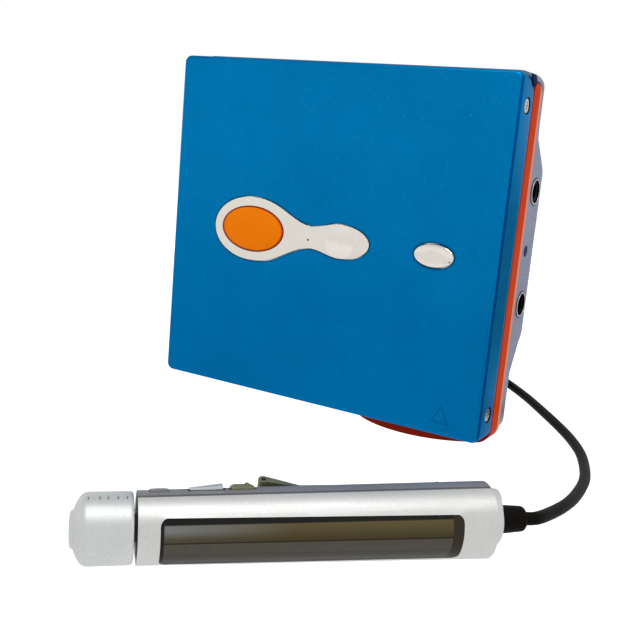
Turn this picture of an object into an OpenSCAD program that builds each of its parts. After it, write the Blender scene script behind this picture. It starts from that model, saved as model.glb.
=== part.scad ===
// Pocket minidisc player with its wired stick remote.
// The player stands on its front lip with the lid facing -Y. It is drawn lying on its back,
// lid up, with x across, y from the lip to the hinge and z through its thickness.

/* [Player case] */
// Width of the player across the lid
case_w = 80; // [79:0.5:84]
// Length of the lid from its front edge to its hinge edge
case_l = 73.6; // [73:0.2:77]
// Radius of the case corners seen from the lid
corner_r = 3; // [2:0.25:3.5]
lid_corner_r = 1.6; // [1:0.1:3]
// Height of the lid's side walls
lid_h = 7.4; // [7.2:0.1:8]
// Height of the coloured middle frame
rim_h = 5.4; // [5:0.2:6]
// Depth of the battery bulge below the middle frame
bulge_h = 7.2; // [7:0.1:8]
// How far the middle frame's lip stands out in front of the lid
lip_out = 2; // [1.4:0.1:2.6]
// How far the back wall stands out behind the lid
rear_out = 0.7; // [0.4:0.1:1]
// Thickness of the lid's top skin
lid_skin = 0.8; // [0.6:0.1:0.9]
// Thickness of the lid's walls
lid_wall = 0.9; // [0.7:0.1:1]
// Thickness of the middle frame's walls
rim_wall = 1.2; // [1:0.1:1.3]
// Thickness of the base shell's floor
base_floor = 1; // [0.8:0.1:1.1]
// Open line between the lid and the middle frame
seam = 0.3; // [0.2:0.05:0.4]

/* [Disc and holder] */
// Width of the disc cartridge
disc_w = 72; // [71.5:0.1:72.5]
// Length of the disc cartridge
disc_l = 68; // [67.5:0.1:68.2]
// Thickness of the disc cartridge
disc_h = 5; // [4.8:0.1:5.1]
// Room left all round the cartridge
disc_room = 0.3; // [0.2:0.05:0.3]
// Sheet thickness of the disc holder
sheet = 0.5; // [0.4:0.05:0.5]

/* [Keys] */
// Half length of the orange play key
play_a = 8.1; // [7.5:0.1:8.4]
// Half width of the orange play key
play_b = 4.95; // [4.5:0.05:5.2]
// Half length of the small oval stop key
stop_a = 4.35; // [3.5:0.05:5]
// Half width of the small oval stop key
stop_b = 2.35; // [2:0.05:2.8]
// Gap round each key
key_gap = 0.15; // [0.1:0.05:0.2]
// Travel of a key when pressed
key_travel = 0.3; // [0.2:0.05:0.3]

/* [Hinge and sockets] */
// Radius of the lid's hinge pins
hinge_pin_r = 0.6; // [0.5:0.05:0.7]
// Clearance of a pin or rod that turns or slides in its hole
run_fit = 0.05; // [0.03:0.01:0.08]
// Outer radius of the rings round the two sockets
socket_ring_r = 2.9; // [2.6:0.1:3]
// Radius of the headphone sockets
phones_r = 1.78; // [1.76:0.01:1.82]
// Radius of the power socket
power_r = 2.1; // [1.8:0.05:2.2]

/* [Battery] */
// Length of the gumstick battery
cell_l = 67; // [66:0.1:67.5]
// Width of the gumstick battery
cell_w = 17; // [16.8:0.1:17.2]
// Thickness of the gumstick battery
cell_t = 6; // [5.7:0.1:6]

/* [Disc drive] */
// Travel of the pickup across the disc
sled_travel = 17; // [14:0.5:17]
// Radius of the sled's guide rods
rod_r = 0.75; // [0.6:0.05:0.8]
// Radius of the turntable
turntable_r = 5; // [4.5:0.1:5.5]
// Teeth on the lead screw's gear
gear_teeth = 18; // [16:1:18]
// Teeth on the motor's pinion
pinion_teeth = 9; // [8:1:10]
// Gear module, pitch diameter divided by teeth
gear_module = 0.2; // [0.19:0.005:0.2]

/* [Remote control] */
// Length of the remote's barrel without knob and end cap
barrel_l = 51.4; // [50:0.2:54]
// Radius of the barrel at the knob
barrel_r = 5.1; // [5.05:0.05:5.3]
// Radius of the barrel at the cord
barrel_r2 = 5.75; // [5.6:0.05:5.9]
// Wall of the barrel
barrel_wall = 1; // [0.8:0.1:1.1]
// Length of the end knob
knob_l = 8.7; // [8:0.1:10]
// Radius of the end knob
knob_r = 5; // [4.8:0.05:5.05]
// Length of the dark display window
window_l = 43; // [41:0.5:44]
// Height of the dark display window
window_h = 7.1; // [6:0.1:7.2]
// Diameter of the cord
cord_d = 2.1; // [2:0.05:2.2]

/* [Hidden] */
$fn = 48;

// Levels through the player's thickness, with the lid's face up
thick = lid_h + rim_h + bulge_h;
face_z = 10;
seam_z = face_z - lid_h;
rim_z = seam_z - rim_h;
back_z = face_z - thick;
half_w = case_w / 2;
inner_w = half_w - rim_wall;
skin_z = face_z - lid_skin;
rim_top = seam_z - seam;

// Contour of the underside, from the lip to the back wall
front_y = -0.4;
front_step = 2.4;
rear_step = 1;
bulge_y0 = 18.5;
bulge_y1 = 57;
bulge_in = 6;
bulge_out = 4.6;
rear_y = case_l + rear_out;
rear_wall = 1.2;
rear_top = rim_top + seam;
bulge_round = 3;

// Disc holder levels
board_t = 0.4;
flange_t = 0.35;
flange_drop = 0.15;
key_floor = 0.05;
holder_top = skin_z - flange_drop - flange_t - key_travel - key_floor - board_t;
slot_top = holder_top - sheet;
slot_low = slot_top - disc_h - disc_room;
holder_low = slot_low - sheet;
holder_w = disc_w / 2 + disc_room + sheet;
holder_y0 = 1.3;
holder_back = 3.5;
holder_y1 = case_l - holder_back;
lip_w = 3;

// Hinge
pivot_y = case_l - 2.1;
pivot_z = face_z - 3.4;
knuckle_r = 1.25;
lug_x0 = half_w - 4.5;
lug_x1 = inner_w - 0.1;
knuckle_l = 3.2;
lid_round = 4;
lid_round_y = case_l - lid_round;
lid_round_z = face_z - 3.3;

// Key layout, measured from the middle of the lid and its front edge
key_y = 36.65;
play_x = -17.9;
stop_x = 26.1;
spoon_x0 = -28.1;
spoon_lobe_x = -18.2;
spoon_neck_x = -2.7;
spoon_dish_x = 4.4;
spoon_x1 = 11.4;
spoon_lobe_b = 7;
spoon_neck_b = 2.35;
spoon_dish_b = 3.6;
key_proud = 0.1;
flange_out = 0.7;
rock_r = 0.45;

// Lip and finger pad at the front
pad_x = 22.5;
pad_r = 20;
pad_top = 2.2;
lid_rim_h = 1.6;

// Screws that hold the disc holder in the lid
screw_z = face_z - 4.6;
screw_y = [holder_y0 + 4.1, holder_y1 - 2.7];
screw_head_r = 1.35;
screw_sink_r = 1.65;
screw_shank_r = 0.6;

// Sockets in the right side
phones_y = 50.9;
power_y = 27.2;
jack_z = face_z - 16.7;
jack_l = 12;
jack_b = 2.7;
pip_y = 38.6;
pip_z = face_z - 15.3;
pip_r = 1.2;

// Battery bay
cell_y = 39;
cell_z = back_z + base_floor + 0.05;
cell_x0 = -half_w + 1.9;
door_t = 1.1;
door_w = cell_w + 1;
door_y0 = cell_y - door_w / 2;
door_y1 = cell_y + door_w / 2;
door_z0 = back_z + base_floor;
door_z1 = cell_z + cell_t + 0.1;
door_gap = 0.2;
door_pin_r = 0.3;
door_axis_x = -half_w + 0.6;
door_axis_y = door_y1 - 0.6;

// Deck, spindle and pickup
spin_y = holder_y0 + disc_l / 2;
pcb_z = rim_z + 0.1;
pcb_t = 0.6;
deck_z = pcb_z + pcb_t + 0.15;
deck_t = 0.5;
deck_top = deck_z + deck_t;
motor_r = 9;
motor_top = deck_top + 2;
turntable_top = slot_low - 0.1;
rod_z = deck_top + 1.5;
rod_y = [spin_y - 7.6, spin_y + 7.6];
rod_x0 = 9.6;
bracket_t = 1;
sled_l = 7;
sled_x = rod_x0 + bracket_t + 0.15;
rod_x1 = sled_x + sled_l + sled_travel + bracket_t + 0.65;
sled_top = rod_z + 1.35;
screw_rod_y = spin_y + 12.6;
pitch_r = gear_module * gear_teeth / 2;
pinion_r = gear_module * pinion_teeth / 2;
pinion_y = screw_rod_y + pitch_r + pinion_r + 0.03;
gear_x = 5.2;
gear_w = 1.6;
small_motor_r = 1.9;
small_motor_l = 11;

// Sliders in the left wall of the middle frame
open_y = 19;
hold_y = case_l - 16.6;
slider_z = rim_z + 2.9;
slider_l = 6;
slider_travel = 2.5;

// Remote's place on the table and its own x along the barrel
remote_x = 14;
remote_y = -96.8;
remote_yaw = 43.5;
remote_tilt = atan((barrel_r2 - barrel_r) / barrel_l);
remote_lift = 0.03;
barrel_x = knob_l + 0.3;
cap_x = barrel_x + barrel_l;
cap_l = 1.8;
cap_r = 5.1;
strain_x = cap_x + cap_l;
strain_l = 6.1;
strain_r = 2.25;
strain_r2 = 1.8;
exit_y = 2.4;
exit_z = -1.09;
socket_y = 0;
socket_z = 2.44;
window_x = barrel_x + 3;
window_tilt = -8;
split_a = 80;
clip_a = 165;
clip_x0 = 27.4;
clip_x1 = 55;
clip_w = 4;
key_a = 100;

// Cord: the free stretch by hand-chosen points, then a flat two-layer coil
cord_r = cord_d / 2;
coil_c = [6, 44];
coil_lift = 0.5;
coil_step = 2.7;
coil_mid_r = 12;
coil_turns = 4;
coil_half = 4.07;
coil_in_r = coil_mid_r - coil_step * coil_turns / 2;
coil_low_z = coil_lift + cord_r;
coil_high_z = coil_low_z + cord_d + 0.55;
coil_a0 = 40;
coil_exit = 13;
plug_r = 3.9;
tie_a = 230;
loop_rings = 24;
cord_points = [
    [64.2, -41.8, 4.4], [64.75, -34.8, 3.75], [64.45, -26.3, 2.95], [63.15, -15.5, 2.1],
    [61, -6.5, 1.55], [57.6, 3.5, 1.2], [53.4, 12, 1.07], [48.6, 19.7, 1.05],
    [42.5, 28.5, 1.05], [34.8, 39, 1.1], [27, 48, 1.3]];

// The player stands on its lip: its y becomes up and its lid faces -Y
module standing() {
    translate([0, 0, lip_out])
        rotate([90, 0, 0])
            children();
}

// Box from one corner to the other
module span(a, b) {
    translate(a)
        cube(b - a);
}

// Rod along x from x0 to x1
module x_rod(x0, x1, y, z, r) {
    translate([x0, y, z])
        rotate([0, 90, 0])
            cylinder(r = r, h = x1 - x0);
}

// Flat plate with round corners, from y0 to y1
module round_plate(hw, y0, y1, r) {
    translate([-hw + r, y0])
        square([2 * (hw - r), y1 - y0]);
    translate([-hw, y0 + r])
        square([2 * hw, y1 - y0 - 2 * r]);
    for (x = [-hw + r, hw - r], y = [y0 + r, y1 - r])
        translate([x, y])
            circle(r = r);
}

module prism(z0, z1) {
    translate([0, 0, z0])
        linear_extrude(z1 - z0)
            children();
}

// Points of an arc in a plane
function arc(c, r, a0, a1, n) =
    [for (i = [0:n]) let (a = a0 + (a1 - a0) * i / n) c + r * [cos(a), sin(a)]];

function oval(a, b, n = 64) =
    [for (i = [0:n - 1]) [a * cos(360 * i / n), b * sin(360 * i / n)]];

// Half width of the spoon-shaped key at x: round lobe, drawn-in neck and oval dish
function spoon_half(x) =
    x < spoon_lobe_x
        ? spoon_lobe_b * sqrt(max(0, 1 - pow((x - spoon_lobe_x) / (spoon_lobe_x - spoon_x0), 2)))
    : x < spoon_neck_x ? spoon_neck_b + (spoon_lobe_b - spoon_neck_b)
        * (1 + cos(180 * pow((x - spoon_lobe_x) / (spoon_neck_x - spoon_lobe_x), 1.25))) / 2
    : x < spoon_dish_x ? spoon_neck_b + (spoon_dish_b - spoon_neck_b)
        * (1 - cos(180 * (x - spoon_neck_x) / (spoon_dish_x - spoon_neck_x))) / 2
    : spoon_dish_b * sqrt(max(0, 1 - pow((x - spoon_dish_x) / (spoon_x1 - spoon_dish_x), 2)));

// Stations along the spoon, close together at its two round ends
function spoon_at(i, n) =
    let (t = (1 - cos(180 * i / n)) / 2) spoon_x0 + (spoon_x1 - spoon_x0) * t;

function spoon_rim(n = 44) = concat(
    [for (i = [0:n]) [spoon_at(i, n), key_y - spoon_half(spoon_at(i, n))]],
    [for (i = [n - 1:-1:1]) [spoon_at(i, n), key_y + spoon_half(spoon_at(i, n))]]);

// Spoon outline moved outwards by g along its own normals
function grown(p, g) =
    [for (i = [0:len(p) - 1])
        let (q = p[(i + 1) % len(p)] - p[(i + len(p) - 1) % len(p)], s = norm(q))
            p[i] + g * [q[1], -q[0]] / s];

// Base: contoured underside, back wall and the ears beside the hinge
function underside() = concat(
    [[front_y, rim_z], [front_y, rim_z - 0.6], [front_y + 1, rim_z - front_step],
        [bulge_y0 - bulge_in, rim_z - front_step]],
    arc([bulge_y0 + bulge_round, back_z + bulge_round], bulge_round, 215, 270, 6),
    arc([bulge_y1 - bulge_round, back_z + bulge_round], bulge_round, 270, 320, 6),
    [[bulge_y1 + bulge_out, rim_z - rear_step - 0.3], [bulge_y1 + bulge_out + 2.4, rim_z - rear_step]],
    arc([rear_y - 1.6, rim_z - rear_step + 1.6], 1.6, 270, 360, 6),
    [[rear_y, rear_top], [rear_y - rear_wall, rear_top], [rear_y - rear_wall, rim_z]]);

module along_x(x0, x1) {
    translate([x0, 0, 0])
        rotate([90, 0, 90])
            linear_extrude(x1 - x0)
                children();
}

// End of a side wall of the middle frame, round where it meets the ear
rim_end_r = (rim_top - rim_z) / 2;
rim_end_y = case_l - 3.8;
rim_mid_z = (rim_top + rim_z) / 2;

module base_shell() {
    color([0.52, 0.56, 0.72])
        standing()
            difference() {
                union() {
                    intersection() {
                        prism(back_z, face_z)
                            round_plate(half_w, front_y, rear_y, corner_r);
                        along_x(-half_w, half_w)
                            polygon(underside());
                    }
                    base_ear(1);
                    base_ear(-1);
                }
                // bay for battery, sockets and chips
                span([-inner_w, bulge_y0 + 2.2, back_z + base_floor],
                    [inner_w, bulge_y1 - 2.2, rim_z + 1]);
                // mouths of the two sockets and the small blind hole
                for (y = [phones_y, power_y])
                    x_rod(inner_w - 1, half_w + 1, y, jack_z, socket_ring_r + 0.05);
                x_rod(half_w - 0.8, half_w + 1, pip_y, pip_z, pip_r);
                // battery doorway and its pin hole
                span([-half_w - 1, door_y0 - door_gap, door_z0],
                    [-inner_w + 1, door_y1 + door_gap, rim_z + 1]);
                translate([door_axis_x, door_axis_y, back_z + 0.3])
                    cylinder(r = door_pin_r + run_fit / 2, h = 2);
                // screw seats
                for (x = base_screw_x, y = base_screw_y)
                    base_screw_hole(x, y);
            }
}

module base_ear(side) {
    difference() {
        intersection() {
            prism(rim_z - 0.1, rear_top)
                round_plate(half_w, front_y, rear_y, corner_r);
            span([side > 0 ? inner_w : -half_w, rim_end_y + 0.6, rim_z - 0.1],
                [side > 0 ? half_w : -inner_w, rear_y, rear_top]);
        }
        x_rod(-half_w - 1, half_w + 1, rim_end_y, rim_mid_z, rim_end_r + seam / 2);
        span([-half_w - 1, rim_end_y - 1, rim_top - 1], [half_w + 1, rim_end_y + 2, face_z]);
    }
}

base_screw_x = [-half_w + 6, half_w - 6];
base_screw_y = [5.6, rear_y - 6];
base_screw_r = 1.4;

// Underside level at y, where the case is thin
function thin_z(y) = y < bulge_y0 ? rim_z - front_step : rim_z - rear_step;

module base_screw_hole(x, y) {
    translate([x, y, thin_z(y) - 1])
        cylinder(r = base_screw_r + 0.1, h = 1.5);
}

module base_screws() {
    color([0.75, 0.75, 0.77])
        standing()
            for (x = base_screw_x, y = base_screw_y)
                difference() {
                    translate([x, y, thin_z(y) + 0.1])
                        cylinder(r = base_screw_r, h = 0.4);
                    translate([x, y, thin_z(y)])
                        cross_slot(1.6);
                }
}

// Cross recess of a small screw
module cross_slot(l) {
    for (a = [0, 90])
        rotate([0, 0, a])
            translate([-l / 2, -0.15, -0.2])
                cube([l, 0.3, 0.5]);
}

module mid_frame() {
    color([0.85, 0.2, 0.03])
        standing()
            difference() {
                union() {
                    // lower ring with the lip in front
                    intersection() {
                        prism(rim_z, rim_top)
                            round_plate(half_w, -lip_out, rear_y, corner_r + 0.5);
                        along_x(-half_w, half_w)
                            rim_side();
                    }
                    // finger pad, a disc segment rising in front of the lid
                    intersection() {
                        translate([pad_x, 0, face_z - pad_top - pad_r])
                            rotate([90, 0, 0])
                                translate([0, 0, 0.1])
                                    cylinder(r = pad_r, h = lip_out - 0.1);
                        span([pad_x - pad_r, -lip_out, rim_top - 1], [half_w - 1, -0.1, face_z]);
                    }
                    // front wall behind the lid's rim, with the disc's mouth above it
                    span([-half_w + 3.5, 0.05, rim_z], [half_w - 3.5, 1, face_z - lid_rim_h - seam]);
                }
                span([-inner_w, 1, rim_z - 1], [inner_w, rear_y + 1, rim_top + 1]);
                slider_slot(open_y);
                slider_slot(hold_y);
            }
}

// Side view of the frame's walls, square in front and round at the hinge
module rim_side() {
    polygon(concat([[-lip_out, rim_z]],
        arc([rim_end_y, rim_mid_z], rim_end_r, -90, 90, 16),
        [[-lip_out, rim_top]]));
}

module slider_slot(y) {
    span([-half_w - 1, y - slider_l / 2 - 0.2, slider_z - 0.9],
        [-inner_w + 0.2, y + slider_l / 2 + slider_travel + 0.2, slider_z + 0.9]);
}

// Thumb slider: ribbed cap outside, neck through the wall and a plate inside
module slider(y) {
    x = -half_w;
    difference() {
        union() {
            span([x - 0.5, y - slider_l / 2, slider_z - 0.8],
                [x + rim_wall, y + slider_l / 2, slider_z + 0.8]);
            span([x + rim_wall + 0.1, y - slider_l / 2 - 1.2, slider_z - 1.4],
                [x + rim_wall + 0.7, y + slider_l / 2 + 1.2, slider_z + 1.4]);
            span([x + rim_wall - 0.1, y - slider_l / 2, slider_z - 0.8],
                [x + rim_wall + 0.2, y + slider_l / 2, slider_z + 0.8]);
        }
        for (i = [-2:2])
            translate([x - 0.5, y + i, slider_z - 1])
                rotate([0, 0, 45])
                    translate([-0.2, -0.2, 0])
                        cube([0.4, 0.4, 2]);
    }
}

module open_slider() {
    color([0.75, 0.76, 0.8])
        standing()
            slider(open_y);
}

module hold_switch() {
    color([0.75, 0.76, 0.8])
        standing()
            slider(hold_y);
}

module lug_x(side) {
    if (side > 0)
        children();
    else
        mirror([1, 0, 0])
            children();
}

// Hinge lug rising from the base, with the pin's hole
module hinge_lug(side) {
    color([0.25, 0.26, 0.28])
        standing()
            lug_x(side)
                difference() {
                    union() {
                        span([lug_x0, pivot_y - knuckle_r, rim_z], [lug_x1, pivot_y + knuckle_r, pivot_z]);
                        x_rod(lug_x0, lug_x1, pivot_y, pivot_z, knuckle_r);
                    }
                    x_rod(lug_x0 - 1, lug_x1 + 1, pivot_y, pivot_z, hinge_pin_r + 0.02);
                }
}

module hinge_lug_left() { hinge_lug(-1); }
module hinge_lug_right() { hinge_lug(1); }

module hinge_pin(side) {
    color([0.8, 0.8, 0.82])
        standing()
            lug_x(side)
                x_rod(lug_x0 - knuckle_l - 0.1, lug_x1 - 0.1, pivot_y, pivot_z, hinge_pin_r);
}

module hinge_pin_left() { hinge_pin(-1); }
module hinge_pin_right() { hinge_pin(1); }

// Lid: thin shell with deep side walls, round at the hinge, open at the disc's mouth
module lid_shell() {
    top_round = 0.8;
    color([0.02, 0.4, 0.72])
        standing()
            difference() {
                union() {
                    difference() {
                        hull()
                            for (x = [-half_w + lid_corner_r, half_w - lid_corner_r],
                                    y = [lid_corner_r, case_l - lid_corner_r])
                                translate([x, y, seam_z])
                                    rounded_post(lid_corner_r, lid_h, top_round, $fn = 32);
                        // round the walls off behind the hinge
                        difference() {
                            span([-half_w - 1, lid_round_y, seam_z - 1],
                                [half_w + 1, case_l + 1, lid_round_z]);
                            x_rod(-half_w - 2, half_w + 2, lid_round_y, lid_round_z, lid_round);
                        }
                        span([-half_w + lid_wall, lid_wall, seam_z - 1],
                            [half_w - lid_wall, case_l - lid_wall, skin_z]);
                        // disc's mouth in front, above the frame's front wall
                        span([-half_w + 3.2, -1, seam_z - 1],
                            [half_w - 3.2, lid_wall + 0.1, face_z - lid_rim_h]);
                        // notches for the base's hinge lugs
                        for (side = [-1, 1])
                            span([side > 0 ? lug_x0 - 0.25 : -half_w + lid_wall, pivot_y - 2, seam_z - 1],
                                [side > 0 ? half_w - lid_wall : -lug_x0 + 0.25, case_l + 1, skin_z]);
                    }
                    for (side = [-1, 1])
                        lug_x(side)
                            lid_knuckle();
                }
                for (side = [-1, 1])
                    lug_x(side) {
                        x_rod(lug_x0 - knuckle_l - 2, lug_x1, pivot_y, pivot_z, hinge_pin_r + run_fit);
                        for (y = screw_y)
                            x_rod(half_w - lid_wall - 0.5, half_w + 1, y, screw_z, screw_sink_r);
                    }
                // key openings
                prism(skin_z - 1, face_z + 1)
                    polygon(grown(spoon_rim(), key_gap));
                translate([stop_x, key_y, 0])
                    prism(skin_z - 1, face_z + 1)
                        polygon(oval(stop_a + key_gap, stop_b + key_gap));
            }
}

module rounded_post(r, h, e) {
    rotate_extrude()
        polygon(concat([[0, 0], [r, 0]], arc([r - e, h - e], e, 0, 90, 4), [[0, h]]));
}

module lid_knuckle() {
    x1 = lug_x0 - 0.25;
    x0 = x1 - knuckle_l + 0.3;
    span([x0, pivot_y - knuckle_r, pivot_z], [x1, pivot_y + knuckle_r, skin_z + 0.1]);
    x_rod(x0, x1, pivot_y, pivot_z, knuckle_r);
}

// Disc holder: folded sheet with two lips and a stop at the rear, hung in the lid by four screws
module disc_holder() {
    inner = holder_w - sheet;
    color([0.7, 0.71, 0.73])
        standing()
            difference() {
                union() {
                    span([-holder_w, holder_y0, slot_top], [holder_w, holder_y1, holder_top]);
                    span([-inner, holder_y1 - sheet, slot_low], [inner, holder_y1, slot_top + 0.1]);
                    for (side = [-1, 1])
                        lug_x(side) {
                            span([inner, holder_y0, holder_low], [holder_w, holder_y1, holder_top]);
                            span([inner - lip_w, holder_y0, holder_low], [holder_w, holder_y1, slot_low]);
                            for (y = screw_y)
                                x_rod(holder_w - 0.1, half_w - lid_wall - 0.1, y, screw_z, 1.5);
                        }
                }
                for (side = [-1, 1], y = screw_y)
                    lug_x(side)
                        x_rod(inner - 1, half_w, y, screw_z, screw_shank_r + 0.05);
                // windows in the top sheet
                translate([0, spin_y, 0])
                    prism(slot_top - 1, holder_top + 1)
                        circle(r = 11);
                for (x = [-24, 24])
                    translate([x, spin_y + 22, 0])
                        prism(slot_top - 1, holder_top + 1)
                            polygon(oval(7, 4, 32));
            }
}

module holder_screws(side) {
    color([0.85, 0.85, 0.87])
        standing()
            lug_x(side)
                for (y = screw_y)
                    difference() {
                        union() {
                            x_rod(half_w - lid_wall - 0.1, half_w - 0.15, y, screw_z, screw_head_r);
                            x_rod(holder_w - sheet + 0.1, half_w - lid_wall, y, screw_z, screw_shank_r);
                        }
                        translate([half_w - 0.15, y, screw_z])
                            rotate([0, 90, 0])
                                cross_slot(1.7);
                    }
}

module holder_screws_left() { holder_screws(-1); }
module holder_screws_right() { holder_screws(1); }

// Thin key board lying on the disc holder under the keys
module key_board() {
    color([0.8, 0.55, 0.15])
        standing()
            difference() {
                prism(holder_top, holder_top + board_t)
                    translate([1, key_y - 8.5])
                        round_plate(32.5, 0, 17, 2);
                translate([1, key_y, holder_top - 1])
                    cylinder(r = 1.5, h = 3);
            }
}

flange_top = skin_z - flange_drop;

// Spoon-shaped rocker key with a dished lobe and the play key's opening
module spoon_key() {
    top = face_z + key_proud;
    color([0.88, 0.87, 0.85])
        standing()
            difference() {
                union() {
                    prism(flange_top - flange_t, top)
                        polygon(spoon_rim());
                    prism(flange_top - flange_t, flange_top)
                        polygon(grown(spoon_rim(), flange_out));
                    // rib under the neck, on which the plate rocks
                    translate([spoon_neck_x, key_y - 1.5, face_z - 1])
                        rotate([-90, 0, 0])
                            cylinder(r = rock_r, h = 3);
                }
                translate([play_x, key_y, 0])
                    prism(skin_z - 2, top + 1)
                        polygon(oval(play_a + key_gap, play_b + key_gap));
                // concave dish
                translate([spoon_dish_x, key_y, top + 15.6])
                    sphere(r = 16, $fn = 96);
            }
}

// Domed oval key: rows of ovals that shrink towards the top, over a plain flange
module domed_key(a, b, dome, foot) {
    top = face_z + key_proud;
    hull()
        for (i = [0:4])
            let (t = 18 * i)
                translate([0, 0, top - 0.06 + dome * sin(t)])
                    linear_extrude(0.05)
                        polygon(oval(a * (0.25 + 0.75 * cos(t)), b * (0.25 + 0.75 * cos(t)), 40));
    prism(foot, top)
        polygon(oval(a, b));
}

module play_key() {
    color([1, 0.5, 0.05])
        standing()
            translate([play_x, key_y, 0])
                domed_key(play_a, play_b, 0.7, flange_top - flange_t);
}

module stop_key() {
    color([0.88, 0.87, 0.85])
        standing()
            translate([stop_x, key_y, 0]) {
                domed_key(stop_a, stop_b, 0.4, flange_top - flange_t);
                prism(flange_top - flange_t, flange_top)
                    polygon(oval(stop_a + flange_out, stop_b + flange_out));
            }
}

module main_board() {
    color([0.1, 0.4, 0.2])
        standing()
            difference() {
                prism(pcb_z, pcb_z + pcb_t)
                    translate([0, 3])
                        round_plate(inner_w - 1.2, 0, case_l - 8, 2);
                for (x = base_screw_x, y = base_screw_y)
                    translate([x, y, pcb_z - 1])
                        cylinder(r = 2, h = 3);
            }
}

// Flat chips under the board, in the free part of the bulge
module chip_set() {
    color([0.12, 0.12, 0.13])
        standing()
            for (c = [[-30, 22, 9, 6], [-17, 22, 7, 6], [-6, 22.5, 12, 5], [9, 22.5, 6, 5],
                    [-30, 49, 8, 5], [-18, 49, 12, 5], [-2, 49, 6, 5], [8, 49, 9, 5]])
                span([c[0], c[1], pcb_z - 1.2], [c[0] + c[2], c[1] + c[3], pcb_z]);
}

module battery_cell() {
    color([0.2, 0.5, 0.35])
        standing()
            translate([cell_x0, cell_y - cell_w / 2, cell_z]) {
                r = cell_t / 2;
                span([0, r, 0], [cell_l, cell_w - r, cell_t]);
                for (y = [r, cell_w - r])
                    x_rod(0, cell_l, y, r, r);
            }
}

// Block at the inner end of the bay, with its sprung contact
module contact_block() {
    x0 = cell_x0 + cell_l + 0.1;
    color([0.8, 0.65, 0.35])
        standing() {
            span([x0 + 1, cell_y - cell_w / 2, cell_z], [x0 + 2.2, cell_y + cell_w / 2, cell_z + cell_t]);
            span([x0, cell_y - 2, cell_z + 1.5], [x0 + 1, cell_y + 2, cell_z + 4.5]);
        }
}

module battery_door() {
    color([0.52, 0.56, 0.72])
        standing()
            difference() {
                union() {
                    span([-half_w, door_y0, door_z0 + 0.1], [-half_w + door_t, door_axis_y, door_z1]);
                    translate([door_axis_x, door_axis_y, door_z0 + 0.1])
                        cylinder(r = 0.6, h = door_z1 - door_z0 - 0.1);
                }
                translate([door_axis_x, door_axis_y, door_z0 - 1])
                    cylinder(r = door_pin_r + run_fit, h = 12);
                // finger groove
                translate([-half_w - 0.5, door_y0 + 3, door_z0 - 1])
                    cylinder(r = 0.9, h = 12);
            }
}

module door_contact() {
    x0 = -half_w + door_t;
    color([0.85, 0.7, 0.35])
        standing()
            span([x0, cell_y - 3, cell_z + 1.5], [cell_x0 - 0.1, cell_y + 3, cell_z + 4.5]);
}

module door_pin() {
    color([0.8, 0.8, 0.82])
        standing()
            translate([door_axis_x, door_axis_y, back_z + 0.4])
                cylinder(r = door_pin_r, h = rim_z - back_z - 0.5);
}

// Socket: ring in the case wall, square housing inside and a blind hole
module jack(y, hole_r, mouth_r) {
    difference() {
        union() {
            x_rod(inner_w - 0.5, half_w + 0.1, y, jack_z, socket_ring_r);
            span([half_w - jack_l - 1, y - jack_b, door_z0 + 0.02], [inner_w, y + jack_b, jack_z + jack_b]);
        }
        x_rod(half_w - jack_l, half_w + 1, y, jack_z, hole_r);
        x_rod(half_w - 0.5, half_w + 1, y, jack_z, mouth_r);
    }
}

module phones_jack() {
    color([0.65, 0.67, 0.72])
        standing()
            jack(phones_y, phones_r, 2.4);
}

module power_jack() {
    color([0.65, 0.67, 0.72])
        standing() {
            jack(power_y, power_r, 2.3);
            x_rod(half_w - jack_l - 0.5, half_w - 1.5, power_y, jack_z, 0.5);
        }
}

// Deck: stamped plate with brackets for the rods and a window for the gears
module deck_plate() {
    color([0.62, 0.64, 0.66])
        standing()
            difference() {
                union() {
                    prism(deck_z, deck_top)
                        translate([0, 3])
                            round_plate(inner_w - 1.2, 0, case_l - 8, 2);
                    for (x = [rod_x0, rod_x1 - bracket_t], y = rod_y)
                        span([x, y - 1.6, deck_top - 0.1], [x + bracket_t, y + 1.6, rod_z + 1.3]);
                    for (x = [gear_x + gear_w + 0.3, rod_x1 - bracket_t])
                        span([x, screw_rod_y - 1.4, deck_top - 0.1],
                            [x + bracket_t, screw_rod_y + 1.4, rod_z + 1.3]);
                }
                for (y = rod_y)
                    x_rod(rod_x0 - 1, rod_x1 + 1, y, rod_z, rod_r + 0.02);
                x_rod(gear_x, rod_x1 + 1, screw_rod_y, rod_z, rod_r + run_fit);
                span([gear_x - 0.3, screw_rod_y - 2.4, deck_z - 1],
                    [gear_x + gear_w + 0.3, screw_rod_y + 4.6, deck_top + 0.5]);
                translate([0, spin_y, deck_z - 1])
                    cylinder(r = 2, h = 3);
                for (x = base_screw_x, y = base_screw_y)
                    translate([x, y, deck_z - 1])
                        cylinder(r = 2, h = 3);
            }
}

module spindle_motor() {
    color([0.3, 0.31, 0.33])
        standing()
            difference() {
                union() {
                    translate([0, spin_y, deck_top])
                        cylinder(r = motor_r, h = 1.2);
                    translate([0, spin_y, deck_top])
                        cylinder(r = motor_r - 2, h = motor_top - deck_top);
                }
                translate([0, spin_y, deck_top - 1])
                    cylinder(r = 0.8 + run_fit, h = 6);
            }
}

// Turntable with its hub and the shaft in the motor
module turntable() {
    color([0.78, 0.78, 0.8])
        standing()
            translate([0, spin_y, 0]) {
                translate([0, 0, motor_top + 0.15])
                    cylinder(r = turntable_r, h = 0.8);
                translate([0, 0, motor_top + 0.15])
                    cylinder(r = turntable_r - 1.6, h = turntable_top - motor_top - 0.15);
                translate([0, 0, deck_top + 0.1])
                    cylinder(r = 0.8, h = motor_top - deck_top + 0.2);
                // drive lug, off centre
                translate([turntable_r - 0.9, 0, motor_top + 0.9])
                    cylinder(r = 0.5, h = 0.4);
            }
}

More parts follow.
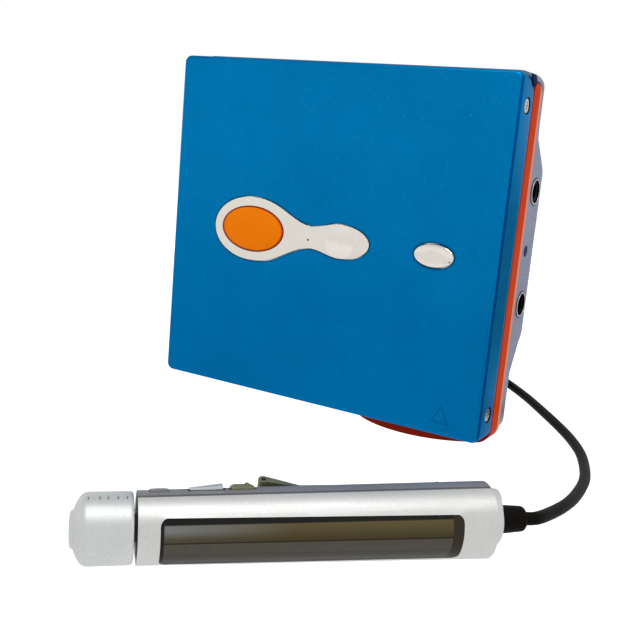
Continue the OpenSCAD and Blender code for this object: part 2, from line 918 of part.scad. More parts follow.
module guide_rods() {
    color([0.85, 0.85, 0.87])
        standing()
            for (y = rod_y)
                x_rod(rod_x0 + 0.1, rod_x1 - 0.1, y, rod_z, rod_r);
}

// Pickup sled on two rods, with a tongue that reaches the lead screw
module pickup_sled() {
    y0 = rod_y[0] - 1.4;
    y1 = rod_y[1] + 1.4;
    color([0.15, 0.15, 0.16])
        standing()
            difference() {
                union() {
                    span([sled_x, y0, deck_top + 0.15], [sled_x + sled_l, y1, sled_top]);
                    span([sled_x + 2, y1 - 0.1, rod_z - 0.6],
                        [sled_x + 4, screw_rod_y - rod_r - 0.12, rod_z + 0.6]);
                }
                for (y = rod_y)
                    x_rod(sled_x - 1, sled_x + sled_l + 1, y, rod_z, rod_r + run_fit);
                translate([sled_x + sled_l / 2, spin_y, sled_top - 0.6])
                    cylinder(r = 2.4, h = 2);
            }
}

module pickup_lens() {
    color([0.3, 0.45, 0.6])
        standing()
            translate([sled_x + sled_l / 2, spin_y, sled_top - 0.6])
                difference() {
                    cylinder(r = 2.2, h = 0.8);
                    translate([0, 0, 6.6])
                        sphere(r = 6, $fn = 64);
                }
}

// Points of a spur gear: each tooth is a flank, a land and a flank
function gear_points(teeth, m) =
    let (r = m * teeth / 2, a = 360 / teeth, low = r - 1.1 * m, high = r + 0.75 * m)
        [for (i = [0:teeth - 1], k = [0:3])
            let (turn = a * (i + [-0.36, -0.1, 0.1, 0.36][k]), rad = [low, high, high, low][k])
                rad * [cos(turn), sin(turn)]];

module x_gear(y, z, teeth, turn) {
    translate([gear_x, y, z])
        rotate([0, 90, 0])
            rotate([0, 0, turn])
                difference() {
                    linear_extrude(gear_w)
                        polygon(gear_points(teeth, gear_module));
                    translate([0, 0, -1])
                        cylinder(r = 0.4, h = gear_w + 2);
                }
}

module drive_gear() {
    color([0.9, 0.88, 0.8])
        standing()
            x_gear(screw_rod_y, rod_z, gear_teeth, 90 + 180 / gear_teeth);
}

module motor_pinion() {
    color([0.85, 0.7, 0.35])
        standing()
            x_gear(pinion_y, rod_z, pinion_teeth, 270);
}

// Lead screw: threaded rod with a thin spigot through its gear
module lead_screw() {
    color([0.72, 0.73, 0.75])
        standing()
            difference() {
                union() {
                    x_rod(gear_x + gear_w, rod_x1 - 0.1, screw_rod_y, rod_z, rod_r);
                    x_rod(gear_x + 0.1, gear_x + gear_w + 0.1, screw_rod_y, rod_z, 0.38);
                }
                for (x = [rod_x0 + bracket_t + 0.6:1.5:rod_x1 - bracket_t - 0.6])
                    difference() {
                        x_rod(x, x + 0.4, screw_rod_y, rod_z, rod_r + 1);
                        x_rod(x - 1, x + 2, screw_rod_y, rod_z, rod_r - 0.15);
                    }
            }
}

module sled_motor() {
    y = pinion_y;
    color([0.7, 0.7, 0.72])
        standing() {
            difference() {
                x_rod(gear_x - 0.6 - small_motor_l, gear_x - 0.6, y, rod_z, small_motor_r);
                span([gear_x - 20, y - 3, rod_z - 5], [gear_x, y + 3, deck_top]);
            }
            x_rod(gear_x - 0.7, gear_x + gear_w, y, rod_z, 0.36);
        }
}

// Remote: its own x runs along the barrel from knob to cord, and -y faces the viewer
module at_remote() {
    translate([remote_x, remote_y, barrel_r + remote_lift])
        rotate([0, 0, remote_yaw])
            rotate([0, -remote_tilt, 0])
                children();
}

// Barrel radius at x
function barrel_at(x) = barrel_r + (barrel_r2 - barrel_r) * (x - barrel_x) / barrel_l;

module x_cone(x0, x1, r0, r1) {
    translate([x0, 0, 0])
        rotate([0, 90, 0])
            cylinder(r1 = r0, r2 = r1, h = x1 - x0);
}

module barrel_solid(x0, x1, less) {
    x_cone(x0, x1, barrel_at(x0) - less, barrel_at(x1) - less);
}

// Half space on one side of the shells' split, through the axis
module half_side(side) {
    rotate([90 - split_a, 0, 0])
        span([-5, side > 0 ? -20 : 0, -20], [90, side > 0 ? 0 : 20, 20]);
}

// Prism through the barrel's front, as tall and long as the window
module window_prism(grow) {
    r = 1;
    rotate([-window_tilt, 0, 0])
        translate([window_x + window_l / 2, -1, 0])
            rotate([90, 0, 0])
                linear_extrude(10)
                    round_plate(window_l / 2 + grow, -window_h / 2 - grow, window_h / 2 + grow, r);
}

module barrel_tube() {
    difference() {
        barrel_solid(barrel_x, cap_x, 0);
        barrel_solid(barrel_x - 1, cap_x + 1, barrel_wall);
    }
}

module remote_front() {
    color([0.82, 0.83, 0.85])
        at_remote()
            difference() {
                intersection() {
                    barrel_tube();
                    half_side(1);
                }
                window_prism(0.05);
            }
}

module remote_back() {
    color([0.8, 0.81, 0.84])
        at_remote()
            difference() {
                union() {
                    intersection() {
                        barrel_tube();
                        half_side(-1);
                    }
                    at_clip()
                        clip_ear();
                    // bulkhead that closes the barrel behind the knob
                    x_rod(barrel_x, barrel_x + 1, 0, 0, barrel_r - barrel_wall - 0.02);
                    intersection() {
                        x_rod(barrel_x, barrel_x + 1, 0, 0, barrel_r - barrel_wall / 2);
                        half_side(-1);
                    }
                }
                x_rod(barrel_x - 1, barrel_x + 2, 0, 0, stem_r + run_fit);
                at_clip()
                    translate([clip_x0, clip_w, clip_z])
                        rotate([90, 0, 0])
                            cylinder(r = clip_pin_r + 0.02, h = 2 * clip_w);
                for (k = [0:2])
                    at_key(key_xs[k])
                        translate([-key_ls[k] / 2 - 0.12, -0.82, -2])
                            cube([key_ls[k] + 0.24 + key_slide[k], 1.64, 6]);
            }
}

module lcd_window() {
    color([0.12, 0.12, 0.11])
        at_remote()
            intersection() {
                difference() {
                    barrel_solid(barrel_x, cap_x, 0.02);
                    barrel_solid(barrel_x - 1, cap_x + 1, barrel_wall);
                }
                window_prism(0);
            }
}

// Display glass behind the window, and its board
module lcd_panel() {
    color([0.3, 0.3, 0.26])
        at_remote()
            rotate([-window_tilt, 0, 0])
                span([window_x + 2.5, -3.1, -window_h / 2 + 1.1],
                    [window_x + window_l - 2.5, -2.3, window_h / 2 - 1.1]);
}

module remote_board() {
    color([0.1, 0.4, 0.2])
        at_remote()
            rotate([-window_tilt, 0, 0])
                span([window_x + 3, -2.3, -3], [window_x + window_l - 10, -1.7, 3]);
}

module remote_endcap() {
    color([0.85, 0.86, 0.88])
        at_remote()
            difference() {
                union() {
                    x_cone(cap_x, strain_x, barrel_r2 - 0.25, cap_r);
                    x_cone(cap_x - 1, cap_x, barrel_r2 - barrel_wall - 0.1, barrel_r2 - barrel_wall - 0.1);
                }
                x_rod(cap_x - 2, strain_x + 1, socket_y, socket_z, socket_body_r + 0.03);
                x_rod(cap_x - 2, strain_x + 1, exit_y, exit_z, 1.3);
            }
}

module cord_strain() {
    color([0.06, 0.06, 0.06])
        at_remote()
            translate([strain_x, exit_y, exit_z])
                rotate([0, 90, 0])
                    cylinder(r1 = strain_r, r2 = strain_r2, h = strain_l);
}

socket_body_r = 2.1;

// The remote's own headphone socket, beside the cord
module remote_phones() {
    color([0.1, 0.1, 0.1])
        at_remote()
            difference() {
                x_rod(strain_x - 15, strain_x, socket_y, socket_z, socket_body_r);
                x_rod(strain_x - 14, strain_x + 1, socket_y, socket_z, phones_r);
            }
}

stem_r = 2;

// Stem that slides in and out of the barrel and carries the knob
module knob_stem() {
    color([0.2, 0.2, 0.21])
        at_remote()
            x_rod(knob_l - 5, barrel_x + 5, 0, 0, stem_r);
}

// Knob: a low boss on the end, a shallow cone and a round shoulder up to the gripped rim
module volume_knob() {
    boss = 3;
    face = 3.8;
    shoulder = knob_r - face;
    color([0.82, 0.83, 0.85])
        at_remote()
            difference() {
                rotate([0, 90, 0])
                    rotate_extrude()
                        polygon(concat([[0, 0.1], [boss - 0.2, 0.1], [boss, 0.3], [boss, 0.5]],
                            [for (a = [0:15:90])
                                [face + shoulder * sin(a), 0.7 + shoulder * (1 - cos(a))]],
                            [[knob_r, knob_l - 0.4], [knob_r - 0.4, knob_l], [0, knob_l]]));
                x_rod(knob_l - 5.1, knob_l + 1, 0, 0, stem_r + run_fit);
                // grip notches round the rim
                for (a = [0:30:330])
                    rotate([a, 0, 0])
                        x_rod(knob_l - 3, knob_l - 0.8, knob_r + 0.25, 0, 0.4);
            }
}

// Clip frame: z points away from the barrel at the clip's angle
module at_clip() {
    rotate([90 - clip_a, 0, 0])
        children();
}

clip_pin_r = 0.3;
clip_eye_r = 0.8;
clip_t = 0.7;
clip_z = barrel_at(clip_x0) + 0.95;

clip_ear_w = 1.6;

// Ear of the back shell that holds the middle of the clip's pin
module clip_ear() {
    translate([clip_x0, clip_ear_w / 2, clip_z])
        rotate([90, 0, 0])
            cylinder(r = clip_eye_r, h = clip_ear_w);
    span([clip_x0 - clip_eye_r, -clip_ear_w / 2, barrel_r - 0.5],
        [clip_x0 + clip_eye_r, clip_ear_w / 2, clip_z]);
}

// Clip arm: two knuckles round the ear, a sloping back and a long jaw with a turned-up tip
module clip_arm() {
    low = barrel_at(clip_x1) + 0.06;
    color([0.78, 0.79, 0.82])
        at_remote()
            at_clip()
                difference() {
                    translate([0, clip_w / 2, 0])
                        rotate([90, 0, 0])
                            linear_extrude(clip_w)
                                polygon(concat(arc([clip_x0, clip_z], clip_eye_r, 300, 80, 16),
                                    [[clip_x0 + 5.6, low + clip_t], [clip_x1 - 2, low + clip_t],
                                        [clip_x1, low + clip_t + 0.5], [clip_x1, low + 0.6],
                                        [clip_x1 - 2.2, low], [clip_x1 - 3.4, low],
                                        [clip_x1 - 3.6, low + 0.2], [clip_x0 + 6, low + 0.2]]));
                    translate([clip_x0, clip_w, clip_z])
                        rotate([90, 0, 0])
                            cylinder(r = clip_pin_r + run_fit, h = 2 * clip_w);
                    // slot for the ear
                    span([clip_x0 - 2, -clip_ear_w / 2 - 0.1, clip_z - 2],
                        [clip_x0 + clip_eye_r + 0.2, clip_ear_w / 2 + 0.1, clip_z + 2]);
                }
}

module clip_pin() {
    color([0.8, 0.8, 0.82])
        at_remote()
            at_clip()
                translate([clip_x0, clip_w / 2 - 0.1, clip_z])
                    rotate([90, 0, 0])
                        cylinder(r = clip_pin_r, h = clip_w - 0.2);
}

// Flat spring leaf on the barrel under the sloping back
module clip_spring() {
    x0 = clip_x0 + 1.4;
    color([0.8, 0.8, 0.82])
        at_remote()
            at_clip()
                span([x0, -1, barrel_at(x0 + 3) + 0.01], [x0 + 3, 1, barrel_at(x0 + 3) + 0.2]);
}

module at_key(x) {
    rotate([90 - key_a, 0, 0])
        translate([x, 0, barrel_at(x)])
            children();
}

// Sound key, hold slide and stop key along the top
key_xs = [barrel_x + 3, barrel_x + 9, barrel_x + 14.6];
key_ls = [2.6, 4, 3.6];
key_slide = [0, 1, 0];

// Low key in a slot of the back shell: ramped cap outside and a plate inside
module remote_key(k, proud) {
    l = key_ls[k];
    at_key(key_xs[k]) {
        translate([0, 0.7, 0])
            rotate([90, 0, 0])
                linear_extrude(1.4)
                    polygon([[-l / 2, -1.3], [l / 2, -1.3], [l / 2, proud / 2], [l / 4, proud],
                        [-l / 8, proud], [-l / 2, 0.1]]);
        translate([-l / 2 - 0.4, -1.1, -1.9])
            cube([l + 0.8, 2.2, 0.7]);
    }
}

module remote_hold() {
    color([0.75, 0.76, 0.78])
        at_remote()
            remote_key(1, 0.5);
}

module remote_stop() {
    color([0.55, 0.56, 0.45])
        at_remote()
            remote_key(2, 0.5);
}

module remote_sound() {
    color([0.55, 0.56, 0.45])
        at_remote()
            remote_key(0, 0.15);
}

// Directions along a route and a frame that turns with it
function unit(v) = v / norm(v);

function tangent(p, i) =
    unit(p[min(i + 1, len(p) - 1)] - p[max(i - 1, 0)]);

function ring(c, t, r, sides) =
    let (side = unit(cross([0, 0, 1], t)), up = cross(t, side))
        [for (k = [0:sides - 1]) let (a = 360 * (k + 0.5) / sides) c + r * (cos(a) * side + sin(a) * up)];

// Closed tube swept along points, with flat ends
module tube(p, r, sides) {
    n = len(p);
    rings = [for (i = [0:n - 1]) each ring(p[i], tangent(p, i), r, sides)];
    side_faces = [for (i = [0:n - 2], k = [0:sides - 1])
        let (a = i * sides + k, b = i * sides + (k + 1) % sides)
            each [[a, b, b + sides], [a, b + sides, a + sides]]];
    end_faces = concat(
        [for (k = [1:sides - 2]) [0, k + 1, k]],
        [for (k = [1:sides - 2]) [(n - 1) * sides, (n - 1) * sides + k, (n - 1) * sides + k + 1]]);
    polyhedron(rings, [for (f = concat(side_faces, end_faces)) [f[2], f[1], f[0]]]);
}

// Smooth curve through hand-chosen points
function curve_at(p, i, t) =
    let (a = p[max(i - 1, 0)], b = p[i], c = p[i + 1], d = p[min(i + 2, len(p) - 1)])
        0.5 * (2 * b + (c - a) * t + (2 * a - 5 * b + 4 * c - d) * t * t
            + (3 * b - a - 3 * c + d) * t * t * t);

function smooth(p, n) = concat(
    [for (i = [0:len(p) - 2], k = [0:n - 1]) curve_at(p, i, k / n)], [p[len(p) - 1]]);

// Coil route: in on the lower layer, up a layer in the half turn at the middle, out again
climb = 0.25;
function coil_r_at(t) = coil_in_r + coil_step * abs(t);
function coil_z_at(t) =
    t < -climb ? coil_low_z
    : t > climb ? coil_high_z
    : coil_low_z + (coil_high_z - coil_low_z) * (1 - cos(180 * (t + climb) / (2 * climb))) / 2;
function coil_point(t) =
    let (a = coil_a0 + 360 * (t + coil_half))
        [coil_c[0] + coil_r_at(t) * cos(a), coil_c[1] + coil_r_at(t) * sin(a), coil_z_at(t)];
coil_steps = 2 * coil_half * loop_rings;
coil_path = [for (i = [0:coil_steps]) coil_point(-coil_half + i / loop_rings)];
coil_start_dir = unit(coil_path[1] - coil_path[0]);
coil_end_dir = unit(coil_path[coil_steps] - coil_path[coil_steps - 1]);
coil_route = concat([coil_path[0] - coil_start_dir * cord_d], coil_path,
    [coil_path[coil_steps] + coil_end_dir * cord_d]);
plug_start = coil_path[coil_steps] + coil_end_dir * coil_exit;

// Least gap of the coil to itself, on its points at least half a turn apart
coil_gap = min([for (i = [0:3:coil_steps], j = [i + loop_rings / 2:coil_steps])
    norm(coil_path[i] - coil_path[j])]) - cord_d;
echo(coil_gap = coil_gap);

// The free stretch leaves the strain relief and enters the coil straight
function turned(v, a) = [v[0] * cos(a) - v[1] * sin(a), v[0] * sin(a) + v[1] * cos(a)];
function remote_point(p) =
    let (x = p[0] * cos(remote_tilt) - p[2] * sin(remote_tilt),
        z = p[0] * sin(remote_tilt) + p[2] * cos(remote_tilt),
        q = turned([x, p[1]], remote_yaw))
            [remote_x + q[0], remote_y + q[1], barrel_r + remote_lift + z];
exit_point = remote_point([strain_x + strain_l, exit_y, exit_z]);
exit_dir = exit_point - remote_point([strain_x + strain_l - 1, exit_y, exit_z]);
lead_route = concat([exit_point],
    smooth(concat([exit_point + exit_dir * cord_d], cord_points,
        [coil_route[0] - coil_start_dir * cord_d]), 3),
    [coil_route[0]]);

module cord_lead() {
    color([0.07, 0.07, 0.07])
        tube(lead_route, cord_r, 8);
}

module cord_coil() {
    color([0.07, 0.07, 0.07])
        tube(concat(coil_route, [plug_start]), cord_r, 6);
}

// Band round the coil's bundle of turns
module coil_tie() {
    w = coil_step * (coil_turns - 1) + cord_d + 1.2;
    h = coil_high_z + cord_r + 0.3;
    color([0.05, 0.05, 0.05])
        translate([coil_c[0], coil_c[1], 0])
            rotate([0, 0, tie_a])
                translate([coil_mid_r, 0, 0])
                    difference() {
                        span([-w / 2 - 0.4, -1.5, 0], [w / 2 + 0.4, 1.5, h + 0.4]);
                        span([-w / 2, -2, 0.4], [w / 2, 2, h]);
                    }
}

module at_plug() {
    translate(plug_start)
        rotate([0, 0, atan2(coil_end_dir[1], coil_end_dir[0])])
            rotate([0, 90, 0])
                children();
}

module plug_grip() {
    color([0.07, 0.07, 0.07])
        at_plug() {
            cylinder(r1 = 1.4, r2 = 2.1, h = 6);
            translate([0, 0, 6])
                cylinder(r = plug_r, h = 14);
        }
}

// Plug pin with its insulating grooves and tip
module plug_pin() {
    color([0.85, 0.8, 0.6])
        at_plug()
            translate([0, 0, 20])
                rotate_extrude()
                    polygon([[0, 0], [1.75, 0], [1.75, 6], [1.6, 6.1], [1.6, 6.5], [1.75, 6.6],
                        [1.75, 9], [1.6, 9.1], [1.6, 9.5], [1.75, 9.6], [1.75, 11.2], [1.2, 12],
                        [1.6, 13], [0.6, 14], [0, 14]]);
}

base_shell();
mid_frame();
deck_plate();
main_board();
chip_set();
battery_cell();
contact_block();
battery_door();
door_contact();
door_pin();
hinge_lug_left();
hinge_lug_right();
hinge_pin_left();
hinge_pin_right();
phones_jack();
power_jack();
spindle_motor();
turntable();
pickup_sled();
pickup_lens();
guide_rods();
lead_screw();
drive_gear();
motor_pinion();
sled_motor();
base_screws();
open_slider();
hold_switch();
lid_shell();
disc_holder();
holder_screws_left();
holder_screws_right();
key_board();
spoon_key();
play_key();
stop_key();
remote_front();
remote_back();
lcd_window();
lcd_panel();
remote_board();
remote_endcap();
cord_strain();
remote_phones();
knob_stem();
volume_knob();
clip_arm();
clip_pin();
clip_spring();
remote_hold();
remote_stop();
remote_sound();
cord_lead();
cord_coil();
coil_tie();
plug_grip();
plug_pin();
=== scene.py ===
# %% [markdown]
# # A pocket minidisc player and its wired stick remote
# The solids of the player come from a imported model. This lesson dresses them: it lays out the
# cord, sets up a small photo studio, mixes a finish for every part and models the pieces whose
# surface needs more than a solid gives. Each step says what the piece is, how it could be made
# and why this way was chosen. All lengths are in metres.

from math import cos, pi, radians, sin

import bpy
from mathutils import Matrix, Vector


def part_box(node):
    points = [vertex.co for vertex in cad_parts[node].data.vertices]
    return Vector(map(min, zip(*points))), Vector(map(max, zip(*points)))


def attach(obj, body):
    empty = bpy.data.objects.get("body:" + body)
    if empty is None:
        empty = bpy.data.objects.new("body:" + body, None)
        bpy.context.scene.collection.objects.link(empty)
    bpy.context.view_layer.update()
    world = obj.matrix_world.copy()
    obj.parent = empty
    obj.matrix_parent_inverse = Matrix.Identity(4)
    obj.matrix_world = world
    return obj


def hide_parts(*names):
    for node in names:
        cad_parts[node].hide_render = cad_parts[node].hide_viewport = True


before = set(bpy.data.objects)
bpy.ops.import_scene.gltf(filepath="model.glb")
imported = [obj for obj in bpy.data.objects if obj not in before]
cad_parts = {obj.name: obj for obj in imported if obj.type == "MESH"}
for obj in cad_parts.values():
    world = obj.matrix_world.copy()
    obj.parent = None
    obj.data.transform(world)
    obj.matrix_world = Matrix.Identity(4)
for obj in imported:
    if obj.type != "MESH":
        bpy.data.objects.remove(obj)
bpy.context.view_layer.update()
bpy.ops.object.select_all(action="DESELECT")
mm = 0.001

# %% [markdown]
# ## Camera
# The photograph was taken from close by, a little above the player and from its right. A camera
# could be aimed with a tracking constraint, but here its three axes were worked out from the
# corners of the lid, so they are written down as a matrix: right, up and backwards.

# %% Camera
bpy.ops.object.camera_add()
camera = bpy.context.object
camera.name = "photo_camera"
camera_place = (0.0995, -0.1855, 0.0600)
right = Vector((0.8608, 0.5011, 0.0886))
ahead = Vector((-0.4793, 0.8569, -0.1898)).normalized()
right = (right - ahead * right.dot(ahead)).normalized()
upward = right.cross(ahead)
turn = Matrix((right, upward, -ahead)).transposed()
camera.matrix_world = Matrix.Translation(camera_place) @ turn.to_4x4()
camera.data.lens = 53.0
camera.data.sensor_width = 36
camera.data.clip_start = 0.01
bpy.context.scene.camera = camera
bpy.context.scene.view_settings.view_transform = "Standard"
print("camera looks along", tuple(round(a, 3) for a in ahead))

# %% [markdown]
# ## Picking and editing
# Most pieces are modelled with the same few moves: pick one object, enter its mesh with all of it
# or only some points or faces picked, join objects and bevel the sharp edges.

# %% Mesh helpers
def only(piece):
    bpy.ops.object.select_all(action="DESELECT")
    piece.select_set(True)
    bpy.context.view_layer.objects.active = piece


def edit_all(mode):
    bpy.ops.object.mode_set(mode="EDIT")
    bpy.ops.mesh.select_mode(type=mode)
    bpy.ops.mesh.select_all(action="SELECT")


def leave_edit():
    bpy.ops.object.mode_set(mode="OBJECT")


def pick(piece, mode, wanted):
    only(piece)
    edit_all(mode)
    bpy.ops.mesh.select_all(action="DESELECT")
    leave_edit()
    parts = {"VERT": piece.data.vertices, "FACE": piece.data.polygons}[mode]
    for part in parts:
        place = part.co if mode == "VERT" else part.center
        part.select = wanted(place / mm)
    bpy.ops.object.mode_set(mode="EDIT")


def fix_place(piece):
    only(piece)
    bpy.ops.object.transform_apply(location=True, rotation=True, scale=True)


def join(pieces):
    only(pieces[0])
    for piece in pieces:
        piece.select_set(True)
    bpy.ops.object.join()
    return pieces[0]


def soften(piece, width, sharp=25):
    edges = piece.modifiers.new("soft_edges", "BEVEL")
    edges.width = width * mm
    edges.segments = 3
    edges.limit_method = "ANGLE"
    edges.angle_limit = radians(sharp)
    only(piece)
    bpy.ops.object.modifier_apply(modifier=edges.name)


def bevel_all(width):
    edit_all("FACE")
    bpy.ops.mesh.bevel(offset=width * mm, segments=2)
    leave_edit()


print("mesh helpers ready")

# %% [markdown]
# ## The remote's own frame
# The stick remote lies on the table at an angle. Its parts are easiest to place by a length along
# the barrel, so this helper turns such a place into the shared frame. The same matrix settles
# pieces that are modelled upright at the origin.

# %% Remote frame
remote_yaw = radians(43.5)
remote_tilt = radians(0.7245)
barrel_start_r = 5.1 * mm
barrel_end_r = 5.75 * mm
barrel_start = 9.0 * mm
barrel_length = 51.4 * mm
cap_end = 62.2
sleeve_end = 68.3
sleeve_middle = (2.4, -1.09)
remote_home = Matrix.Translation((14 * mm, -96.8 * mm, 5.13 * mm))
remote_frame = remote_home @ Matrix.Rotation(remote_yaw, 4, "Z") @ Matrix.Rotation(-remote_tilt, 4, "Y")


def on_remote(x, y, z):
    return remote_frame @ Vector((x * mm, y * mm, z * mm))


def barrel_radius(x):
    return barrel_start_r + (barrel_end_r - barrel_start_r) * (x * mm - barrel_start) / barrel_length


print("remote runs from", on_remote(0, 0, 0), "to", on_remote(cap_end, 0, 0))

# %% [markdown]
# ## The cord's route
# A remote's cord is about two millimetres thick and soft. It leaves the end cap straight, falls to
# the table in one loose curve, runs round behind the player and lies there in a flat coil of four
# turns below four, closed by a band. The same points shape the solid, so they are repeated here.
# The loose stretch is a smooth curve through them and the coil is a formula.

# %% Cord route
cord_d = 2.1 * mm
exit_point = on_remote(sleeve_end, *sleeve_middle)
exit_way = (remote_frame.to_3x3() @ Vector((1, 0, 0))).normalized()
loose_points = [
    (64.2, -41.8, 4.4), (64.75, -34.8, 3.75), (64.45, -26.3, 2.95), (63.15, -15.5, 2.1),
    (61, -6.5, 1.55), (57.6, 3.5, 1.2), (53.4, 12, 1.07), (48.6, 19.7, 1.05),
    (42.5, 28.5, 1.05), (34.8, 39, 1.1), (27, 48, 1.3)]
coil_middle = (6 * mm, 44 * mm)
coil_inner = 6.6 * mm
coil_step = 2.7 * mm
coil_half = 4.07
coil_low = 1.55 * mm
coil_high = 4.2 * mm
coil_first = 40
coil_climb = 0.25
plug_reach = 13 * mm
steps_between = 12


def coil_height(t):
    if t < -coil_climb:
        return coil_low
    if t > coil_climb:
        return coil_high
    return coil_low + (coil_high - coil_low) * (1 - cos(pi * (t + coil_climb) / (2 * coil_climb))) / 2


def coil_place(t):
    a = radians(coil_first + 360 * (t + coil_half))
    r = coil_inner + coil_step * abs(t)
    return Vector((coil_middle[0] + r * cos(a), coil_middle[1] + r * sin(a), coil_height(t)))


def between(points, i, t):
    a = points[max(i - 1, 0)]
    b = points[i]
    c = points[i + 1]
    d = points[min(i + 2, len(points) - 1)]
    near = 2 * b + (c - a) * t
    far = (2 * a - 5 * b + 4 * c - d) * t * t + (3 * b - a - 3 * c + d) * t * t * t
    return 0.5 * (near + far)


def smooth_through(points, steps):
    line = [between(points, i, k / steps) for i in range(len(points) - 1) for k in range(steps)]
    return line + [points[-1]]


turn_points = 48
coil_count = int(2 * coil_half * turn_points)
coil = [coil_place(-coil_half + i / turn_points) for i in range(coil_count + 1)]
way_in = (coil[1] - coil[0]).normalized()
way_out = (coil[-1] - coil[-2]).normalized()
plug_start = coil[-1] + way_out * plug_reach
loose = [exit_point, exit_point + exit_way * cord_d]
loose += [Vector(p) * mm for p in loose_points]
loose += [coil[0] - way_in * 2 * cord_d]
route = smooth_through(loose, steps_between)
route += [coil[0] - way_in * cord_d] + coil + [coil[-1] + way_out * cord_d, plug_start]

# %% [markdown]
# ## The cord
# A curve with a round bevel is the natural tool for a cord: it keeps one thickness however it
# bends. Its ends are capped, though both are hidden in other pieces. The tube is then turned into a
# mesh whose faces all look outwards, so that its size is measured from its skin.

# %% Cord
cord_line = bpy.data.curves.new("cord_line", "CURVE")
cord_line.dimensions = "3D"
strand = cord_line.splines.new("POLY")
strand.points.add(len(route) - 1)
for point, place in zip(strand.points, route):
    point.co = (*place, 1)
cord_line.bevel_depth = cord_d / 2
cord_line.bevel_resolution = 5
cord_line.use_fill_caps = True
cord = bpy.data.objects.new("remote_cord", cord_line)
bpy.context.scene.collection.objects.link(cord)
only(cord)
bpy.ops.object.convert(target="MESH")
cord = bpy.context.object
edit_all("FACE")
bpy.ops.mesh.normals_make_consistent(inside=False)
leave_edit()
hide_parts("cord_lead", "cord_coil")
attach(cord, "player")
print("cord leaves at", tuple(round(a, 4) for a in exit_point), "faces", len(cord.data.polygons))

# %% [markdown]
# ## Studio
# The photograph shows the player on pure white with hardly a shadow. A sweep with a curved back
# would do, but its bend shows as a grey arch behind a small object, so the studio is a wide flat
# floor that ends in a white sky. It lies well below the player, which hovers over it, so no piece
# throws a contact shadow. That suits the photograph, but it isn't how the player stands.

# %% Floor
floor_size = 9
floor_z = -0.3
bpy.ops.mesh.primitive_plane_add(size=floor_size, location=(0, 0, floor_z))
floor = bpy.context.object
floor.name = "studio_floor"
fix_place(floor)
print("floor faces", len(floor.data.polygons))

# %% [markdown]
# ## Light
# The light is soft and comes from all round, but not evenly: the air is bright at the height of the
# table and greyer overhead, which gives every round part a bright middle and a darker top, as in
# the photograph. The camera sees plain white behind the player. A broad softbox above the front
# draws the bright band along the remote, and a second one at the right lights the sockets.

# %% Lights
overhead = 0.45
level = 0.82
world = bpy.data.worlds.new("studio_air")
bpy.context.scene.world = world
world.use_nodes = True
air = world.node_tree
way_up = air.nodes.new("ShaderNodeSeparateXYZ")
fade = air.nodes.new("ShaderNodeMapRange")
fade.inputs["From Min"].default_value = 0.1
fade.inputs["To Min"].default_value = level
fade.inputs["To Max"].default_value = overhead
seen = air.nodes.new("ShaderNodeLightPath")
white_behind = air.nodes.new("ShaderNodeMath")
white_behind.operation = "MAXIMUM"
air.links.new(air.nodes.new("ShaderNodeTexCoord").outputs["Generated"], way_up.inputs[0])
air.links.new(way_up.outputs["Z"], fade.inputs["Value"])
air.links.new(fade.outputs["Result"], white_behind.inputs[0])
air.links.new(seen.outputs["Is Camera Ray"], white_behind.inputs[1])
air.links.new(white_behind.outputs[0], air.nodes["Background"].inputs["Strength"])
air.nodes["Background"].inputs["Color"].default_value = (1, 1, 1, 1)


def softbox(name, place, aim, size, power):
    bpy.ops.object.light_add(type="AREA", location=place)
    box = bpy.context.object
    box.name = name
    box.data.shape = "RECTANGLE"
    box.data.size = size[0]
    box.data.size_y = size[1]
    box.data.energy = power
    way = Vector(aim) - Vector(place)
    box.rotation_euler = way.to_track_quat("-Z", "Y").to_euler()


softbox("softbox_above", place=(0.12, -0.22, 0.62), aim=(0.03, -0.08, 0), size=(0.7, 0.36), power=1.7)
softbox("softbox_right", place=(0.75, 0.25, 0.35), aim=(0, 0, 0.04), size=(0.5, 0.4), power=0.3)

# %% [markdown]
# ## Mixing finishes
# Every finish is a small tree of nodes on the Principled shader. A few helpers keep the recipes
# short: they open a material, read a place, do sums, add a noise or a cell pattern, mix two colours
# by a pattern and turn a pattern into fine relief. Patterns read Object coordinates, in metres.

# %% Finish helpers
def srgb(r, g, b):
    def line_up(c):
        c /= 255
        return c / 12.92 if c <= 0.04045 else ((c + 0.055) / 1.055) ** 2.4

    return (line_up(r), line_up(g), line_up(b), 1)


def open_finish(name, colour, rough=0.5, metal=0.0):
    mat = bpy.data.materials.new(name)
    mat.use_nodes = True
    tree = mat.node_tree
    shader = tree.nodes["Principled BSDF"]
    shader.inputs["Base Color"].default_value = colour
    shader.inputs["Roughness"].default_value = rough
    shader.inputs["Metallic"].default_value = metal
    mat.diffuse_color = colour
    return mat, tree, shader


def place_of(tree, stretch=(1, 1, 1)):
    where = tree.nodes.new("ShaderNodeTexCoord")
    mapping = tree.nodes.new("ShaderNodeMapping")
    mapping.inputs["Scale"].default_value = stretch
    tree.links.new(where.outputs["Object"], mapping.inputs["Vector"])
    return mapping.outputs["Vector"]


def place_on_remote(tree):
    where = tree.nodes.new("ShaderNodeTexCoord")
    mapping = tree.nodes.new("ShaderNodeMapping")
    mapping.vector_type = "TEXTURE"
    mapping.inputs["Location"].default_value = remote_frame.translation
    mapping.inputs["Rotation"].default_value = remote_frame.to_euler()
    mapping.inputs["Scale"].default_value = (mm, mm, mm)
    tree.links.new(where.outputs["Object"], mapping.inputs["Vector"])
    return mapping.outputs["Vector"]


def axes(tree, place):
    parts = tree.nodes.new("ShaderNodeSeparateXYZ")
    tree.links.new(place, parts.inputs[0])
    return parts.outputs[0], parts.outputs[1], parts.outputs[2]


def axes_in_mm(tree):
    return axes(tree, place_of(tree, (1 / mm, 1 / mm, 1 / mm)))


